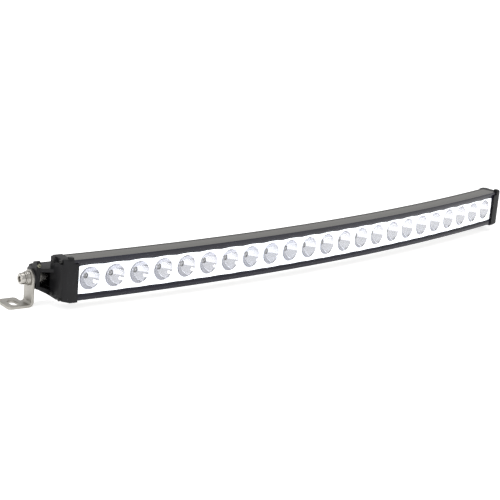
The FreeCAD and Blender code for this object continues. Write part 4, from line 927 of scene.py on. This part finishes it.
class LIGHTBAR_OT_vent(PieceOperator, Operator):
    """Round pressure plug between two fins at the back"""
    bl_idname = "lightbar.vent"
    bl_label = "Breather vent"

    distance, seat, thickness, radius, height = -0.300, 24.05 * MM, 3 * MM, 2.8 * MM, 4.7 * MM

    def build(self, context):
        top = self.thickness
        rows = [(0, 1e-5, 0), (0, self.radius, 0), (top - 0.7 * MM, self.radius, 0),
                (top - 0.2 * MM, self.radius - 0.15 * MM, 0), (top, self.radius - 0.6 * MM, 0),
                (top, self.radius - 1.0 * MM, 0), (top - 0.5 * MM, self.radius - 1.15 * MM, 0),
                (top - 0.5 * MM, 0.75 * MM, 0), (top - 0.15 * MM, 0.6 * MM, 0), (top - 0.1 * MM, 1e-5, 0)]
        along, across, up = turned(rows, 48)
        points = beside_bar(self.distance, across, self.seat + along, self.height + up)
        piece = new_piece("vent_plug", points, grid_faces(len(rows), 48), [nylon_finish()], smooth=34)
        stand_for(piece, "breather_vent")


class LIGHTBAR_OT_kept(PieceOperator, Operator):
    """Finishes for the CAD nodes that stay as they are"""
    bl_idname = "lightbar.kept"
    bl_label = "Finishes of the other parts"

    def build(self, context):
        for name, node in frame["nodes"].items():
            slot = SLOT_OF[name]
            if node.hide_render or slot not in KEPT_FINISHES:
                continue
            label, dark, light, rough, patch, metallic = KEPT_FINISHES[slot]
            material = finish(label, dark, light, rough, patch=patch, grain=1400.0, Metallic=metallic)
            for place in node.material_slots:
                place.material = material


class LIGHTBAR_OT_stage(PieceOperator, Operator):
    """Pale floor, soft light and the camera"""
    bl_idname = "lightbar.stage"
    bl_label = "Stage"

    camera_at = (-1.65998, -1.52521, MID_HEIGHT + 0.59079)
    yaw, pitch, roll = math.radians(45.331), math.radians(15.443), math.radians(5.222)
    focal, sensor, floor_reach = 104.4, 36.0, 30.0

    def build(self, context):
        scene = context.scene
        scene.view_settings.view_transform = "Standard"
        self.floor()
        self.lights(scene)
        self.camera(scene)

    def floor(self):
        mesh = bpy.data.meshes.new("floor")
        signs = ((-1, -1), (1, -1), (1, 1), (-1, 1))
        corners = [(x * self.floor_reach, y * self.floor_reach, 0) for x, y in signs]
        mesh.from_pydata(corners, [], [[0, 1, 2, 3]])
        material = bpy.data.materials.new("Pale floor")
        material.use_nodes = True
        tree = material.node_tree
        feed(tree, tree.nodes["Principled BSDF"], {
            "Base Color": (0.82, 0.82, 0.82, 1), "Roughness": 0.9, "Specular IOR Level": 0.1,
            "Emission Color": (1, 1, 1, 1), "Emission Strength": 0.66})
        mesh.materials.append(material)
        floor = bpy.data.objects.new("floor", mesh)
        bpy.context.scene.collection.objects.link(floor)

    def lights(self, scene):
        world = bpy.data.worlds.new("Soft white surround")
        world.use_nodes = True
        tree = world.node_tree
        feed(tree, tree.nodes["Background"], {"Color": (1.0, 1.0, 1.0, 1), "Strength": 0.78})
        scene.world = world
        for name, place, size, power in (("overhead softbox", (0.0, 0.3, 2.2), 1.6, 14.0),
                                         ("side softbox", (-2.4, -0.6, 1.3), 1.0, 12.0)):
            light = bpy.data.lights.new(name, "AREA")
            light.shape = "SQUARE"
            light.size = size
            light.energy = power
            lamp = bpy.data.objects.new(name, light)
            lamp.location = place
            lamp.rotation_euler = (Vector((0, 0, 0)) - Vector(place)).to_track_quat("-Z", "Y").to_euler()
            scene.collection.objects.link(lamp)

    def camera(self, scene):
        """Looks along the yaw and pitch, then rolls about that line."""
        ahead = Vector((math.sin(self.yaw) * math.cos(self.pitch), math.cos(self.yaw) * math.cos(self.pitch),
                        -math.sin(self.pitch)))
        level = Vector((math.cos(self.yaw), -math.sin(self.yaw), 0))
        above = level.cross(ahead)
        across = math.cos(self.roll) * level + math.sin(self.roll) * above
        upward = -math.sin(self.roll) * level + math.cos(self.roll) * above
        view = Matrix((across, upward, -ahead)).transposed().to_4x4()
        view.translation = self.camera_at
        lens = bpy.data.cameras.new("camera")
        lens.lens = self.focal
        lens.sensor_width = self.sensor
        lens.clip_end = 200.0
        camera = bpy.data.objects.new("camera", lens)
        camera.matrix_world = view
        scene.collection.objects.link(camera)
        scene.camera = camera


OPERATORS = (LIGHTBAR_OT_stage, LIGHTBAR_OT_housing, LIGHTBAR_OT_face, LIGHTBAR_OT_lens,
             LIGHTBAR_OT_glow_panel, LIGHTBAR_OT_reflectors, LIGHTBAR_OT_emitters, LIGHTBAR_OT_end_caps,
             LIGHTBAR_OT_brackets, LIGHTBAR_OT_pivots, LIGHTBAR_OT_screws, LIGHTBAR_OT_gland,
             LIGHTBAR_OT_vent, LIGHTBAR_OT_kept)


class LIGHTBAR_PT_panel(Panel):
    bl_idname = "LIGHTBAR_PT_panel"
    bl_label = "Light bar"
    bl_space_type = "VIEW_3D"
    bl_region_type = "UI"
    bl_category = "Light bar"

    def draw(self, context):
        column = self.layout.column()
        for group in (context.scene.light_bar_sizes, context.scene.light_bar_colours):
            for name in group.__annotations__:
                column.prop(group, name)
        for operator in OPERATORS:
            column.operator(operator.bl_idname)


CLASSES = (LightBarSizes, LightBarColours, *OPERATORS, LIGHTBAR_PT_panel)


def register():
    for item in CLASSES:
        bpy.utils.register_class(item)
    bpy.types.Scene.light_bar_sizes = PointerProperty(type=LightBarSizes)
    bpy.types.Scene.light_bar_colours = PointerProperty(type=LightBarColours)


def unregister():
    del bpy.types.Scene.light_bar_colours
    del bpy.types.Scene.light_bar_sizes
    for item in reversed(CLASSES):
        bpy.utils.unregister_class(item)


def main():
    register()
    for operator in OPERATORS:
        group, action = operator.bl_idname.split(".")
        getattr(getattr(bpy.ops, group), action)()


if __name__ == "__main__":
    main()
